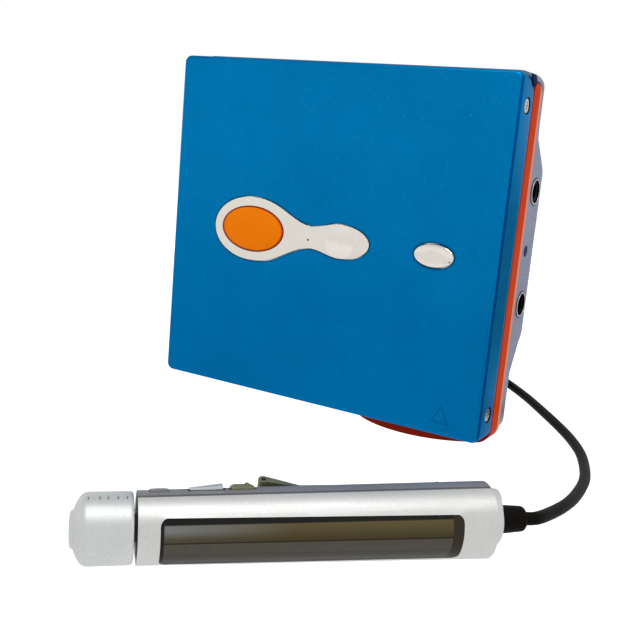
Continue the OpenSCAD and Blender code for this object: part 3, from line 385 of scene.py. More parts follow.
def calc(tree, kind, *values, clamp=False):
    m = tree.nodes.new("ShaderNodeMath")
    m.operation = kind
    m.use_clamp = clamp
    for socket, value in zip(m.inputs, values):
        if isinstance(value, (int, float)):
            socket.default_value = value
        else:
            tree.links.new(value, socket)
    return m.outputs[0]


def reach_of(tree, u, v):
    return calc(tree, "SQRT", calc(tree, "ADD", calc(tree, "MULTIPLY", u, u), calc(tree, "MULTIPLY", v, v)))


def away_from(tree, value, middle):
    return calc(tree, "ABSOLUTE", calc(tree, "SUBTRACT", value, middle))


def round_barrel(tree):
    along, near, high = axes(tree, place_on_remote(tree))
    return along, calc(tree, "ARCTAN2", high, calc(tree, "MULTIPLY", near, -1))


def noise(tree, place, scale, detail=3.0, rough=0.55):
    n = tree.nodes.new("ShaderNodeTexNoise")
    n.inputs["Scale"].default_value = scale
    n.inputs["Detail"].default_value = detail
    n.inputs["Roughness"].default_value = rough
    tree.links.new(place, n.inputs["Vector"])
    return n.outputs["Fac"]


def specks(tree, place, scale):
    n = tree.nodes.new("ShaderNodeTexVoronoi")
    n.inputs["Scale"].default_value = scale
    tree.links.new(place, n.inputs["Vector"])
    grey = tree.nodes.new("ShaderNodeRGBToBW")
    tree.links.new(n.outputs["Color"], grey.inputs["Color"])
    return grey.outputs["Val"]


def spread(tree, value, low, high, to_low, to_high):
    m = tree.nodes.new("ShaderNodeMapRange")
    m.inputs["From Min"].default_value = low
    m.inputs["From Max"].default_value = high
    m.inputs["To Min"].default_value = to_low
    m.inputs["To Max"].default_value = to_high
    tree.links.new(value, m.inputs["Value"])
    return m.outputs["Result"]


def mix(tree, fac, a, b):
    m = tree.nodes.new("ShaderNodeMix")
    m.data_type = "RGBA"
    tree.links.new(fac, m.inputs["Factor"])
    for socket, value in ((m.inputs["A"], a), (m.inputs["B"], b)):
        if isinstance(value, tuple):
            socket.default_value = value
        else:
            tree.links.new(value, socket)
    return m.outputs["Result"]


def relief(tree, shader, height, strength, depth):
    b = tree.nodes.new("ShaderNodeBump")
    b.inputs["Strength"].default_value = strength
    b.inputs["Distance"].default_value = depth
    tree.links.new(height, b.inputs["Height"])
    tree.links.new(b.outputs["Normal"], shader.inputs["Normal"])


def shade_by(tree, shader, pattern, dark, light, rough_low, rough_high):
    tree.links.new(mix(tree, pattern, dark, light), shader.inputs["Base Color"])
    tree.links.new(spread(tree, pattern, 0, 1, rough_low, rough_high), shader.inputs["Roughness"])


def dress(finish, *nodes):
    for n in nodes:
        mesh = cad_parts[n].data
        mesh.materials.clear()
        mesh.materials.append(finish)


print("helpers ready")

# %% [markdown]
# ## Painted metal
# The lid is thin sheet with a deep blue metallic coat. Under the clear layer lie fine flakes, which
# sparkle a little and make the blue vary from grain to grain. A metal shader tinted blue gives the
# pure colour, because its reflections are tinted too. A cell pattern stands for the flakes, a few
# of its cells shine brighter, and long thin wipe marks change the gloss.

# %% Flake paint
def metal_paint(name, dark, light, spark, rough, flake, metal=1.0):
    mat, tree, shader = open_finish(name, light, rough, metal)
    place = place_of(tree)
    fine = specks(tree, place, flake)
    cloud = spread(tree, noise(tree, place, 55, 4), 0.3, 0.7, 0.0, 0.45)
    both = calc(tree, "MULTIPLY_ADD", fine, 0.55, cloud)
    bright = spread(tree, specks(tree, place, flake * 0.9), 0.92, 0.94, 0, 1)
    tree.links.new(mix(tree, bright, mix(tree, both, dark, light), spark), shader.inputs["Base Color"])
    wipes = noise(tree, place_of(tree, (30, 30, 900)), 3, 5, 0.7)
    tree.links.new(spread(tree, wipes, 0.35, 0.75, rough - 0.05, rough + 0.06), shader.inputs["Roughness"])
    relief(tree, shader, noise(tree, place, flake * 0.6, 2), 0.12, 0.02 * mm)
    return mat, tree, shader


base_paint = metal_paint("base_paint", srgb(116, 124, 152), srgb(136, 144, 172), srgb(146, 154, 180),
                         0.36, 5200, 0.7)[0]
dress(base_paint, "base_shell", "battery_door")
print("painted", base_paint.name)

# %% [markdown]
# ## The lid's mark
# A small triangle is pressed into the lid's lower right corner to show which way the disc goes in.
# It could be cut into the mesh, but its groove is finer than the sheet is thick, so the shade of its
# groove is painted instead: three straight sides are three distances, and the largest of them tells
# how far a point lies outside the triangle. Along its edge the paint is darker, a painted shade. The
# face gets a painted shade towards the bottom. On the side walls a painted shade darkens the middle
# and the fold, a painted sheen lightens the ends and a painted highlight runs along the rim. Painted
# shade also darkens the paint round the screws' heads, on the cut walls of the keys' openings and in
# the fine nook along every key, which an occlusion node finds by its narrow view of the room.

# %% Lid paint
mark_corners = [(29.6, 5.0), (31.45, 8.2), (33.2, 4.6)]
groove_shade_width = 0.11
side_wall_x = 39.7
wall_middle_z = 36
front_y = -9.5
fold_y = -9.2
fold_width = 0.4
sheen_start_y = -8.4
screw_shade_start = 0.22
screw_shade_stop = 0.4
skin_front = -9.95
skin_back = -9.3
skin_soft = 0.05
keys_half_x = 36
keys_middle_z = 38
keys_half_z = 30
nook_reach = 0.8 * mm
lid_paint, tree, shader = metal_paint("lid_paint", srgb(1, 117, 178), srgb(3, 137, 204),
                                      srgb(30, 148, 206), 0.4, 5200)
shader.inputs["Specular Tint"].default_value = (0.4, 0.66, 0.86, 1)
across, away, height = axes_in_mm(tree)
outside = None
for i, (x0, z0) in enumerate(mark_corners):
    x1, z1 = mark_corners[(i + 1) % 3]
    side = Vector((z1 - z0, 0, x0 - x1)).normalized()
    start = side.x * x0 + side.z * z0
    along_side = calc(tree, "ADD", calc(tree, "MULTIPLY", across, side.x),
                      calc(tree, "MULTIPLY", height, side.z))
    reach = calc(tree, "SUBTRACT", start, along_side)
    outside = reach if outside is None else calc(tree, "MAXIMUM", outside, reach)
# painted shade along the edge of the pressed triangle's groove
mark = calc(tree, "SUBTRACT", 1, calc(tree, "DIVIDE", calc(tree, "ABSOLUTE", outside), groove_shade_width), clamp=True)
mark = calc(tree, "MULTIPLY", mark, calc(tree, "LESS_THAN", away, front_y))
paint = shader.inputs["Base Color"].links[0].from_socket
# painted shade: the lid's face darker towards the bottom
paint = mix(tree, spread(tree, height, 4, 60, 0.34, 0), paint, srgb(0, 88, 146))
paint = mix(tree, calc(tree, "MULTIPLY", mark, 0.8), paint, srgb(0, 44, 104))
lid_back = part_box("lid_shell")[1][1] / mm
on_side = calc(tree, "GREATER_THAN", calc(tree, "ABSOLUTE", across), side_wall_x)
from_middle = away_from(tree, height, wall_middle_z)
# painted shade: the side wall darker in its middle
side_middle_shade = calc(tree, "MULTIPLY", on_side, spread(tree, from_middle, 10, 30, 0.8, 0))
paint = mix(tree, side_middle_shade, paint, srgb(0, 84, 124))
# painted sheen: the side wall lighter and greyer towards its ends and back
side_end_sheen = calc(tree, "MULTIPLY", spread(tree, away, sheen_start_y, lid_back, 0.1, 0.6),
              spread(tree, from_middle, 14, 32, 0.05, 1))
paint = mix(tree, calc(tree, "MULTIPLY", on_side, side_end_sheen), paint, srgb(116, 136, 172))
# painted shade along the fold between face and side wall
fold_shade = calc(tree, "MULTIPLY", on_side, spread(tree, away, fold_y, fold_y + fold_width, 0.8, 0))
paint = mix(tree, fold_shade, paint, srgb(0, 62, 132))
# painted highlight along the rim of the side wall
rim_highlight = calc(tree, "MULTIPLY", on_side, spread(tree, away, lid_back - 0.3, lid_back - 0.15, 0, 0.5))
paint = mix(tree, rim_highlight, paint, srgb(176, 184, 214))
screw_low, screw_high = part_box("holder_screws_right")
head_r = (screw_high[1] - screw_low[1]) / 2 / mm
screw_y = (screw_high[1] + screw_low[1]) / 2 / mm
# painted shade in a ring round each screw head
for screw_z in (screw_low[2] / mm + head_r, screw_high[2] / mm - head_r):
    u = calc(tree, "SUBTRACT", away, screw_y)
    v = calc(tree, "SUBTRACT", height, screw_z)
    ring = spread(tree, reach_of(tree, u, v), head_r + screw_shade_start, head_r + screw_shade_stop, 0.92, 0)
    paint = mix(tree, ring, paint, srgb(2, 20, 48))
# painted shade on the cut walls of the keys' openings
pocket_shade = calc(tree, "MULTIPLY", spread(tree, away, skin_front, skin_front + skin_soft, 0, 1),
            spread(tree, away, skin_back, skin_back + skin_soft, 1, 0))
pocket_shade = calc(tree, "MULTIPLY", pocket_shade, calc(tree, "SUBTRACT", 1, on_side))
by_keys = calc(tree, "MULTIPLY", calc(tree, "LESS_THAN", away_from(tree, height, keys_middle_z), keys_half_z),
               calc(tree, "LESS_THAN", calc(tree, "ABSOLUTE", across), keys_half_x))
paint = mix(tree, calc(tree, "MULTIPLY", pocket_shade, by_keys), paint, srgb(2, 18, 44))
# painted shade in the nook along every key, found by occlusion
nook_shade = tree.nodes.new("ShaderNodeAmbientOcclusion")
nook_shade.inputs["Distance"].default_value = nook_reach
tree.links.new(mix(tree, spread(tree, nook_shade.outputs["AO"], 0.9, 0.985, 1, 0), paint, srgb(2, 18, 44)),
               shader.inputs["Base Color"])
dress(lid_paint, "lid_shell")
print("mark corners", mark_corners)

# %% [markdown]
# ## Lacquered frame
# Between lid and base runs a glossy orange-red frame. It is lacquered plastic, the colour deep in
# the middle. Next to the lid a painted shade darkens it, and along its back edge, where the rounded
# corner catches the light, runs a painted highlight, a pale line. Both places are depths in the case,
# so they follow the frame round.

# %% Lacquer
highlight_edge = 1.95
highlight_start = highlight_edge - 0.5
highlight_full = highlight_edge - 0.3
shade_start = lid_back + 0.3
shade_stop = lid_back + 1.0
frame_lacquer, tree, shader = open_finish("frame_lacquer", srgb(206, 52, 10), 0.32)
place = place_of(tree)
away = axes_in_mm(tree)[1]
# painted highlight along the frame's back edge
edge_highlight = spread(tree, away, highlight_start, highlight_full, 0, 0.75)
# painted shade where the frame meets the lid
shaded = spread(tree, away, shade_start, shade_stop, 0.75, 0)
body = mix(tree, noise(tree, place, 90, 5), srgb(200, 50, 0), srgb(212, 66, 2))
body = mix(tree, shaded, body, srgb(104, 14, 16))
tree.links.new(mix(tree, edge_highlight, body, srgb(240, 160, 132)), shader.inputs["Base Color"])
tree.links.new(spread(tree, noise(tree, place, 300, 4), 0, 1, 0.3, 0.42), shader.inputs["Roughness"])
relief(tree, shader, noise(tree, place, 700, 3), 0.1, 0.02 * mm)
shader.inputs["IOR"].default_value = 1.06
dress(frame_lacquer, "mid_frame")
print("frame's edges", round(lid_back, 2), highlight_edge)

# %% [markdown]
# ## Bright metal keys
# The spoon plate and the small oval key are plated to a warm mirror. Plating is never quite flat:
# a broad, faint waviness bends the reflections, and a few wipe marks change the gloss. The cut
# walls round each key would mirror the dark gap, so where the skin turns away a painted shade
# darkens the colour.

# %% Plating
key_chrome, tree, shader = open_finish("key_chrome", srgb(250, 246, 238), 0.1, 1.0)
place = place_of(tree)
shade_by(tree, shader, noise(tree, place, 160, 4), srgb(247, 240, 230), srgb(253, 249, 240), 0.1, 0.18)
relief(tree, shader, noise(tree, place, 120, 2), 0.03, 0.05 * mm)
facing_back = axes(tree, tree.nodes.new("ShaderNodeTexCoord").outputs["Normal"])[1]
# painted shade where the key's skin turns away from the front
cut_wall_shade = spread(tree, facing_back, -0.62, -0.45, 0, 0.95)
plating = shader.inputs["Base Color"].links[0].from_socket
tree.links.new(mix(tree, cut_wall_shade, plating, srgb(10, 20, 46)), shader.inputs["Base Color"])
dress(key_chrome, "spoon_key", "stop_key")

# %% [markdown]
# ## The orange lens
# The play key is a clear orange lens over a deeper rim, so its edge is red and dark all round.
# Towards the lower left a painted shade darkens it further. The colour is therefore mixed by the
# distance from two ovals: the lens's own edge and one moved up and right for the painted shade.

# %% Lens
play_orange, tree, shader = open_finish("play_orange", srgb(250, 128, 0), 0.12)
lens_low, lens_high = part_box("play_key")
lens_half = ((lens_high[0] - lens_low[0]) / 2, (lens_high[2] - lens_low[2]) / 2)
lens_x = (lens_high[0] + lens_low[0]) / 2
lens_z = (lens_high[2] + lens_low[2]) / 2
shadow_shift = (0.45 * mm, 0.2 * mm)


def oval_reach(shift_x, shift_z):
    across, height = axes(tree, place_of(tree))[::2]
    u = calc(tree, "DIVIDE", calc(tree, "SUBTRACT", across, lens_x + shift_x), lens_half[0])
    v = calc(tree, "DIVIDE", calc(tree, "SUBTRACT", height, lens_z + shift_z), lens_half[1])
    return reach_of(tree, u, v)


place = place_of(tree)
heart = mix(tree, noise(tree, place, 240, 4), srgb(246, 122, 0), srgb(253, 134, 2))
# painted shade: the lens darker towards the lower left
shadow = spread(tree, oval_reach(*shadow_shift), 0.95, 1.04, 0, 0.85)
rim = spread(tree, oval_reach(0, 0), 0.93, 0.985, 0, 1)
body = mix(tree, shadow, heart, srgb(196, 62, 0))
tree.links.new(mix(tree, rim, body, srgb(170, 40, 4)), shader.inputs["Base Color"])
tree.links.new(spread(tree, noise(tree, place, 400, 4), 0, 1, 0.08, 0.16), shader.inputs["Roughness"])
relief(tree, shader, noise(tree, place, 900, 2), 0.05, 0.02 * mm)
shader.inputs["IOR"].default_value = 1.15
dress(play_orange, "play_key")
print("lens half sizes", tuple(round(a / mm, 2) for a in lens_half))

# %% [markdown]
# ## Silver of the remote
# The stick is silver-painted plastic with a visible grain and a satin gloss. Its two shells meet
# in a thin dark seam near the top, and the back shell above the seam is a darker silver. The seam
# is an angle round the barrel's axis, so it is drawn in the remote's own frame.

# %% Remote finishes
seam_angle = radians(80)
seam_start = seam_angle - 0.1
seam_full = seam_angle - 0.07
front_silver, tree, shader = metal_paint("front_silver", srgb(207, 208, 207), srgb(228, 229, 226),
                                         srgb(228, 229, 230), 0.45, 6500, 0.75)
angle = round_barrel(tree)[1]
seam = spread(tree, angle, seam_start, seam_full, 0, 0.8)
paint = shader.inputs["Base Color"].links[0].from_socket
tree.links.new(mix(tree, seam, paint, srgb(52, 52, 58)), shader.inputs["Base Color"])
dress(front_silver, "remote_front")
back_silver = metal_paint("back_silver", srgb(128, 128, 130), srgb(150, 150, 153), srgb(160, 160, 163),
                          0.45, 6500, 0.4)[0]
dress(back_silver, "remote_back", "remote_sound")
remote_silver = metal_paint("remote_silver", srgb(206, 209, 209), srgb(228, 231, 230), srgb(232, 234, 235),
                            0.45, 6500, 0.75)[0]
dress(remote_silver, "remote_endcap", "volume_knob", "remote_hold")
remote_key = metal_paint("remote_key", srgb(112, 112, 88), srgb(136, 136, 108), srgb(146, 146, 118),
                         0.45, 6500, 0.6)[0]
dress(remote_key, "remote_stop", "clip_arm")
print("silver", front_silver.name, back_silver.name, remote_silver.name)

# %% [markdown]
# ## The remote's window
# Behind the smoked window lies a reflecting display, brown-green in its upper half and greyer
# below, where a second row of signs would light. The upper half carries a painted reflection of
# the room, greyer at its left end. A black border frames it, browner at the right end. A clear
# window over a separate panel would show the same, but only as murk, so the border, the two rows
# and the painted reflection are drawn on the window itself, in the remote's own frame and by the
# angle round its axis.

# %% Window
window_turn = radians(8)
window_r = 5.4
display_x0 = 12.45
display_x1 = 53.4
display_high = 2.95
display_split = 0.55
display_low = -1.2
display_foot = -3.0
edge_soft = 0.08
row_gap = 0.09
reflection_along = (13, 30)
reflection_rise = (1.2, 2.2)


def step_at(tree, value, edge, soft):
    return spread(tree, value, edge - soft, edge + soft, 0, 1)


def inside(tree, value, low, high, soft):
    above = step_at(tree, value, low, soft)
    below = step_at(tree, value, high, soft)
    return calc(tree, "SUBTRACT", above, below, clamp=True)


window_smoke, tree, shader = open_finish("window_smoke", srgb(60, 56, 46), 0.12)
along, angle = round_barrel(tree)
rise = calc(tree, "MULTIPLY", calc(tree, "SINE", calc(tree, "ADD", angle, window_turn)), window_r)
grain = noise(tree, place_of(tree), 900, 4)
right_end = step_at(tree, along, display_x1, edge_soft)
border = mix(tree, right_end, mix(tree, grain, srgb(20, 20, 19), srgb(32, 31, 29)), srgb(50, 43, 32))
upper = mix(tree, spread(tree, rise, display_split, display_high, 0, 1), srgb(62, 54, 30), srgb(96, 84, 54))
# painted reflection of the room, greyer at the upper half's left end
sky_reflection = calc(tree, "MULTIPLY", spread(tree, along, *reflection_along, 0.8, 0), spread(tree, rise, *reflection_rise, 0.15, 1))
upper = mix(tree, sky_reflection, upper, srgb(122, 128, 130))
lower = mix(tree, grain, srgb(74, 71, 62), srgb(88, 84, 74))
screen = mix(tree, step_at(tree, rise, display_split, 0.06), lower, upper)
row_line = inside(tree, rise, display_split - row_gap, display_split + row_gap, 0.05)
screen = mix(tree, row_line, screen, srgb(34, 30, 18))
in_length = inside(tree, along, display_x0, display_x1, edge_soft)
shown = calc(tree, "MULTIPLY", in_length, inside(tree, rise, display_low, display_high, edge_soft))
foot = calc(tree, "MULTIPLY", in_length, inside(tree, rise, display_foot, display_split, edge_soft))
outer = mix(tree, foot, border, srgb(74, 71, 64))
tree.links.new(mix(tree, shown, outer, screen), shader.inputs["Base Color"])
wipes = noise(tree, place_of(tree), 140, 4)
tree.links.new(spread(tree, wipes, 0, 1, 0.08, 0.18), shader.inputs["Roughness"])
relief(tree, shader, noise(tree, place_of(tree), 300, 2), 0.04, 0.02 * mm)
shader.inputs["IOR"].default_value = 1.25
dress(window_smoke, "lcd_window")

lcd, tree, shader = open_finish("lcd", srgb(112, 112, 92), 0.3)
place = place_of(tree)
shade_by(tree, shader, noise(tree, place, 400, 3), srgb(96, 96, 78), srgb(126, 127, 104), 0.25, 0.4)
relief(tree, shader, noise(tree, place, 2500, 2), 0.1, 0.01 * mm)
dress(lcd, "lcd_panel")
print("display", display_x0, "to", display_x1)

# %% [markdown]
# ## Rubber and black plastic
# The cord's sheath is soft plastic with a satin skin. Handling leaves it a little uneven, and dust
# makes the black look greyer in patches. The plug, socket and band are harder and smoother.

# %% Black finishes
cord_rubber, tree, shader = open_finish("cord_rubber", srgb(30, 29, 27), 0.45)
place = place_of(tree)
shade_by(tree, shader, noise(tree, place, 260, 5), srgb(9, 8, 7), srgb(22, 20, 16), 0.4, 0.55)
shader.inputs["IOR"].default_value = 1.12
relief(tree, shader, noise(tree, place, 4200, 3), 0.25, 0.02 * mm)
cord.data.materials.append(cord_rubber)
dress(cord_rubber, "cord_strain")

black_plastic, tree, shader = open_finish("black_plastic", srgb(28, 28, 29), 0.4)
place = place_of(tree)
shade_by(tree, shader, noise(tree, place, 300, 4), srgb(12, 12, 13), srgb(26, 26, 27), 0.32, 0.46)
shader.inputs["IOR"].default_value = 1.2
relief(tree, shader, noise(tree, place, 5200, 2), 0.3, 0.02 * mm)
dress(black_plastic, "remote_phones", "coil_tie", "plug_grip")

# %% [markdown]
# ## Metals inside
# Sheet, rods, screws and contacts differ in colour, gloss and the direction of their grain. One
# recipe draws fine scratches by stretching a noise along the grain, and each metal gets its own
# colour, stretch and gloss.

# %% Metals
def bare_metal(name, dark, light, low, high, grain=(40, 900, 900), bite=0.25):
    mat, tree, shader = open_finish(name, light, (low + high) / 2, 1.0)
    stretched = noise(tree, place_of(tree, grain), 4, 5)
    cloud = noise(tree, place_of(tree), 120, 3)
    shade_by(tree, shader, mix(tree, cloud, stretched, cloud), dark, light, low, high)
    relief(tree, shader, stretched, bite, 0.01 * mm)
    return mat


deck_steel = bare_metal("deck_steel", srgb(150, 152, 154), srgb(186, 188, 190), 0.25, 0.4)
holder_steel = bare_metal("holder_steel", srgb(170, 171, 172), srgb(204, 205, 206), 0.2, 0.34)
steel_pin = bare_metal("steel_pin", srgb(176, 178, 180), srgb(214, 215, 217), 0.12, 0.25, (900, 60, 900))
screw_steel = bare_metal("screw_steel", srgb(176, 174, 168), srgb(224, 222, 216), 0.14, 0.3,
                         (400, 400, 400))
socket_metal = bare_metal("socket", srgb(44, 45, 48), srgb(86, 88, 94), 0.2, 0.35, (300, 900, 900))
motor_can = bare_metal("motor", srgb(96, 98, 102), srgb(140, 142, 146), 0.25, 0.4, (900, 900, 60))
hub_metal = bare_metal("hub", srgb(168, 168, 170), srgb(208, 208, 210), 0.16, 0.3, (500, 60, 500))
contact_metal = bare_metal("contact", srgb(196, 160, 84), srgb(228, 196, 120), 0.15, 0.3, (400, 400, 60))
dress(deck_steel, "deck_plate", "hinge_lug_left", "hinge_lug_right")
dress(holder_steel, "disc_holder")
dress(steel_pin, "door_pin", "hinge_pin_left", "hinge_pin_right", "guide_rods", "clip_pin",
      "clip_spring", "lead_screw")
dress(screw_steel, "base_screws", "holder_screws_left", "holder_screws_right")
dress(socket_metal, "phones_jack", "power_jack")
dress(motor_can, "spindle_motor", "sled_motor")
dress(hub_metal, "turntable")
dress(contact_metal, "contact_block", "door_contact", "motor_pinion", "plug_pin")

# %% [markdown]
# ## Plastics and boards inside
# Moulded parts have a faint orange-peel skin, and circuit boards show copper tracks through their
# green coat. The tracks are drawn by a brick pattern stretched into long thin runs.

# %% Inside plastics
def moulded(name, dark, light, low, high, grain=1800, bite=0.15):
    mat, tree, shader = open_finish(name, light, (low + high) / 2)
    place = place_of(tree)
    shade_by(tree, shader, noise(tree, place, 150, 4), dark, light, low, high)
    relief(tree, shader, noise(tree, place, grain, 3), bite, 0.03 * mm)
    return mat


chip_black = moulded("chip", srgb(24, 24, 26), srgb(44, 44, 46), 0.4, 0.55, 3000, 0.3)
cell_sleeve = moulded("cell", srgb(36, 92, 70), srgb(52, 118, 92), 0.3, 0.42, 900)
sled_plastic = moulded("sled_plastic", srgb(34, 34, 36), srgb(54, 54, 57), 0.4, 0.55)
gear_plastic = moulded("gear_plastic", srgb(220, 214, 196), srgb(240, 236, 222), 0.35, 0.5)
slider_plastic = moulded("slider_plastic", srgb(150, 154, 166), srgb(180, 184, 194), 0.32, 0.45)
dress(chip_black, "chip_set")
dress(cell_sleeve, "battery_cell")
dress(sled_plastic, "pickup_sled", "knob_stem")
dress(gear_plastic, "drive_gear")
dress(slider_plastic, "open_slider", "hold_switch")


def board_finish(name, dark, light, track):
    mat, tree, shader = open_finish(name, light, 0.4)
    place = place_of(tree)
    runs = tree.nodes.new("ShaderNodeTexBrick")
    runs.inputs["Scale"].default_value = 260
    runs.inputs["Mortar Size"].default_value = 0.06
    runs.inputs["Brick Width"].default_value = 1.9
    runs.inputs["Row Height"].default_value = 0.35
    turned_place = place_of(tree)
    turned_place.node.inputs["Rotation"].default_value = (pi / 2, 0, 0)
    tree.links.new(turned_place, runs.inputs["Vector"])
    coat = mix(tree, noise(tree, place, 130, 4), dark, light)
    tree.links.new(mix(tree, runs.outputs["Fac"], coat, track), shader.inputs["Base Color"])
    tree.links.new(spread(tree, runs.outputs["Fac"], 0, 1, 0.42, 0.28), shader.inputs["Roughness"])
    relief(tree, shader, runs.outputs["Fac"], 0.3, 0.03 * mm)
    return mat


board_green = board_finish("board", srgb(18, 84, 44), srgb(28, 104, 58), srgb(70, 140, 80))
flex_amber = board_finish("flex_board", srgb(186, 122, 30), srgb(206, 142, 44), srgb(216, 168, 84))
dress(board_green, "main_board", "remote_board")
dress(flex_amber, "key_board")

lens_glass, tree, shader = open_finish("lens", srgb(60, 84, 130), 0.05)
place = place_of(tree)
shade_by(tree, shader, noise(tree, place, 500, 3), srgb(46, 70, 120), srgb(84, 110, 158), 0.03, 0.08)
relief(tree, shader, noise(tree, place, 900, 2), 0.03, 0.01 * mm)
shader.inputs["Coat Weight"].default_value = 1.0
dress(lens_glass, "pickup_lens")
print("boards", board_green.name, flex_amber.name)

# %% [markdown]
# ## The floor's paper
# White paper in soft light renders grey, so the floor also glows, and more to the camera than to
# the pieces above it. Their undersides keep their own shade that way.

# %% Floor paper
white_paper, tree, shader = open_finish("floor_paper", (0.6, 0.6, 0.6, 1), 0.9)
place = place_of(tree)
shade_by(tree, shader, noise(tree, place, 6, 3), (0.69, 0.69, 0.69, 1), (0.71, 0.71, 0.71, 1), 0.85, 0.95)
shader.inputs["Emission Color"].default_value = (1, 1, 1, 1)
lens_ray = tree.nodes.new("ShaderNodeLightPath").outputs["Is Camera Ray"]
tree.links.new(spread(tree, lens_ray, 0, 1, 0.3, 0.8), shader.inputs["Emission Strength"])
floor.data.materials.append(white_paper)
undressed = [n for n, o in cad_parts.items() if not o.data.materials]
print("finishes", len(bpy.data.materials), "undressed", undressed)

# %% [markdown]
# ## Turned pieces
# Knob, strain relief and other round parts are turned shapes. A spin tool would do, but a ring
# that is extruded and resized from station to station shows every step of the profile. A station
# is a place along the barrel and a radius; the ring may also sit off the axis.

# %% Lathe
smooth_angle = 35


def lathe(stations, sides, middle=(0, 0)):
    start, start_r = stations[0]
    bpy.ops.mesh.primitive_circle_add(vertices=sides, radius=start_r * mm, fill_type="NGON",
                                      location=(start * mm, middle[0] * mm, middle[1] * mm),
                                      rotation=(0, pi / 2, 0))
    piece = bpy.context.object
    fix_place(piece)
    edit_all("FACE")
    for (x0, r0), (x1, r1) in zip(stations, stations[1:]):
        bpy.ops.mesh.extrude_region_move(TRANSFORM_OT_translate={"value": ((x1 - x0) * mm, 0, 0)})
        ring = (x1 * mm, middle[0] * mm, middle[1] * mm)
        bpy.ops.transform.resize(value=(1, r1 / r0, r1 / r0), center_override=ring)
    bpy.ops.mesh.select_all(action="SELECT")
    bpy.ops.mesh.normals_make_consistent(inside=False)
    leave_edit()
    return piece


def settle(piece, name, body, finish, turned=None):
    piece.name = name
    only(piece)
    if turned is not None:
        piece.matrix_world = turned @ piece.matrix_world
    bpy.ops.object.transform_apply(location=True, rotation=True, scale=True)
    bpy.ops.object.shade_smooth_by_angle(angle=radians(smooth_angle))
    piece.data.materials.clear()
    piece.data.materials.append(finish)
    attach(piece, body)
    print(name, len(piece.data.polygons), "faces")
    return piece


print("lathe ready")

# %% [markdown]
# ## The volume knob
# The knob is the barrel's silver end: a low domed boss, a shoulder that swells like the end of an
# egg and a straight grip down to a rolled rim. Behind it is a bore in which the stem slides, so
# the profile runs round the rim and back inside. It turns and pulls, so it rides on its own body.

# %% Knob
knob_r = 5.0
knob_end = 8.55
stem_bore_r = 2.06
bore_bottom = 3.7
shoulder = [(0.6, 2.72), (0.7, 3.0), (0.88, 3.46), (1.1, 3.92), (1.36, 4.34), (1.64, 4.66), (1.95, 4.87),
            (2.3, 4.97), (2.7, knob_r)]
knob_profile = [(0.02, 1.1), (0.06, 1.8), (0.14, 2.25), (0.26, 2.5), (0.42, 2.62), (0.54, 2.66)]
knob_profile += shoulder
knob_profile += [(8.0, knob_r), (8.3, knob_r - 0.06), (8.48, knob_r - 0.18), (knob_end, knob_r - 0.45)]
knob_profile += [(knob_end, stem_bore_r), (bore_bottom, stem_bore_r)]
knob = settle(lathe(knob_profile, 128), "knob_cap", "knob", remote_silver,
              turned=remote_frame)
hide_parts("volume_knob")

# %% [markdown]
# ## Ticks on the knob
# Five small raised ticks near the top show how far the knob turns. Each is a small cube, stretched
# round the knob and bevelled, and the five are joined into one piece.

# %% Knob ticks
tick_xs = [2.5, 4.0, 5.1, 6.4, 7.6]
tick_angle = 77
tick_size = (0.2 * mm, 0.55 * mm, 0.24 * mm)
tick_sink = 0.02
ticks = []
for x in tick_xs:
    bpy.ops.mesh.primitive_cube_add(size=1, location=(x * mm, 0, (knob_r - tick_sink) * mm))
    tick = bpy.context.object
    tick.scale = tick_size
    fix_place(tick)
    bevel_all(0.05)
    ticks.append(tick)
tick_turn = remote_frame @ Matrix.Rotation(radians(90 - tick_angle), 4, "X")
# the ticks wear the darker silver, a painted shade that sets them off from the knob
settle(join(ticks), "knob_ticks", "knob", back_silver, turned=tick_turn)

# %% [markdown]
# ## Strain relief
# Where the cord leaves the cap it sits in a short black sleeve that tapers towards the cord and
# ends in a rounded lip, so that the cord bends gently. It is turned too, off the barrel's axis.

# %% Strain relief
lip_start = sleeve_end - 0.75
lip_length = 0.65
lip_middle_r = 1.4
lip_round = 0.58
cord_hole_r = 1.06
sleeve = [(cap_end, 2.25), (cap_end + 0.25, 2.33), (cap_end + 0.6, 2.3), (lip_start, 1.98)]
sleeve += [(lip_start + lip_length * sin(radians(a)), lip_middle_r + lip_round * cos(radians(a)))
           for a in (20, 40, 60, 80)]
sleeve += [(sleeve_end, 1.3), (sleeve_end, cord_hole_r), (sleeve_end - 0.6, cord_hole_r)]
relief_piece = settle(lathe(sleeve, 64, sleeve_middle), "strain_relief", "player",
                      cord_rubber, turned=remote_frame)
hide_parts("cord_strain")

# %% [markdown]
# ## End cap
# The cap that closes the barrel narrows from the barrel towards the sleeve and the remote's own
# socket. A ring at the barrel and three smaller rings at the end are wrapped in one convex skin,
# and the socket's hole is cut with a boolean, as it would be drilled.

# %% End cap
cap_start = 60.42
socket_up = 2.44
socket_r = 2.13
rings = [(cap_start, 0, 0, 4.95), (cap_end, 0.3, -0.1, 3.75), (cap_end, *sleeve_middle, 2.36),
         (cap_end, 0, socket_up, 2.28)]
parts = []
for x, y, z, r in rings:
    bpy.ops.mesh.primitive_circle_add(vertices=72, radius=r * mm, location=(x * mm, y * mm, z * mm),
                                      rotation=(0, pi / 2, 0))
    parts.append(bpy.context.object)
cap = join(parts)
fix_place(cap)
edit_all("VERT")
bpy.ops.mesh.convex_hull()
leave_edit()
drill = lathe([(cap_start - 1, socket_r), (cap_end + 1, socket_r)], 72, (0, socket_up))
only(cap)
cut = cap.modifiers.new("socket_hole", "BOOLEAN")
cut.operation = "DIFFERENCE"
cut.object = drill
cut.solver = "EXACT"
bpy.ops.object.modifier_apply(modifier=cut.name)
bpy.data.objects.remove(drill)
soften(cap, 0.18, 35)
settle(cap, "end_cap", "player", remote_silver, turned=remote_frame)
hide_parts("remote_endcap")

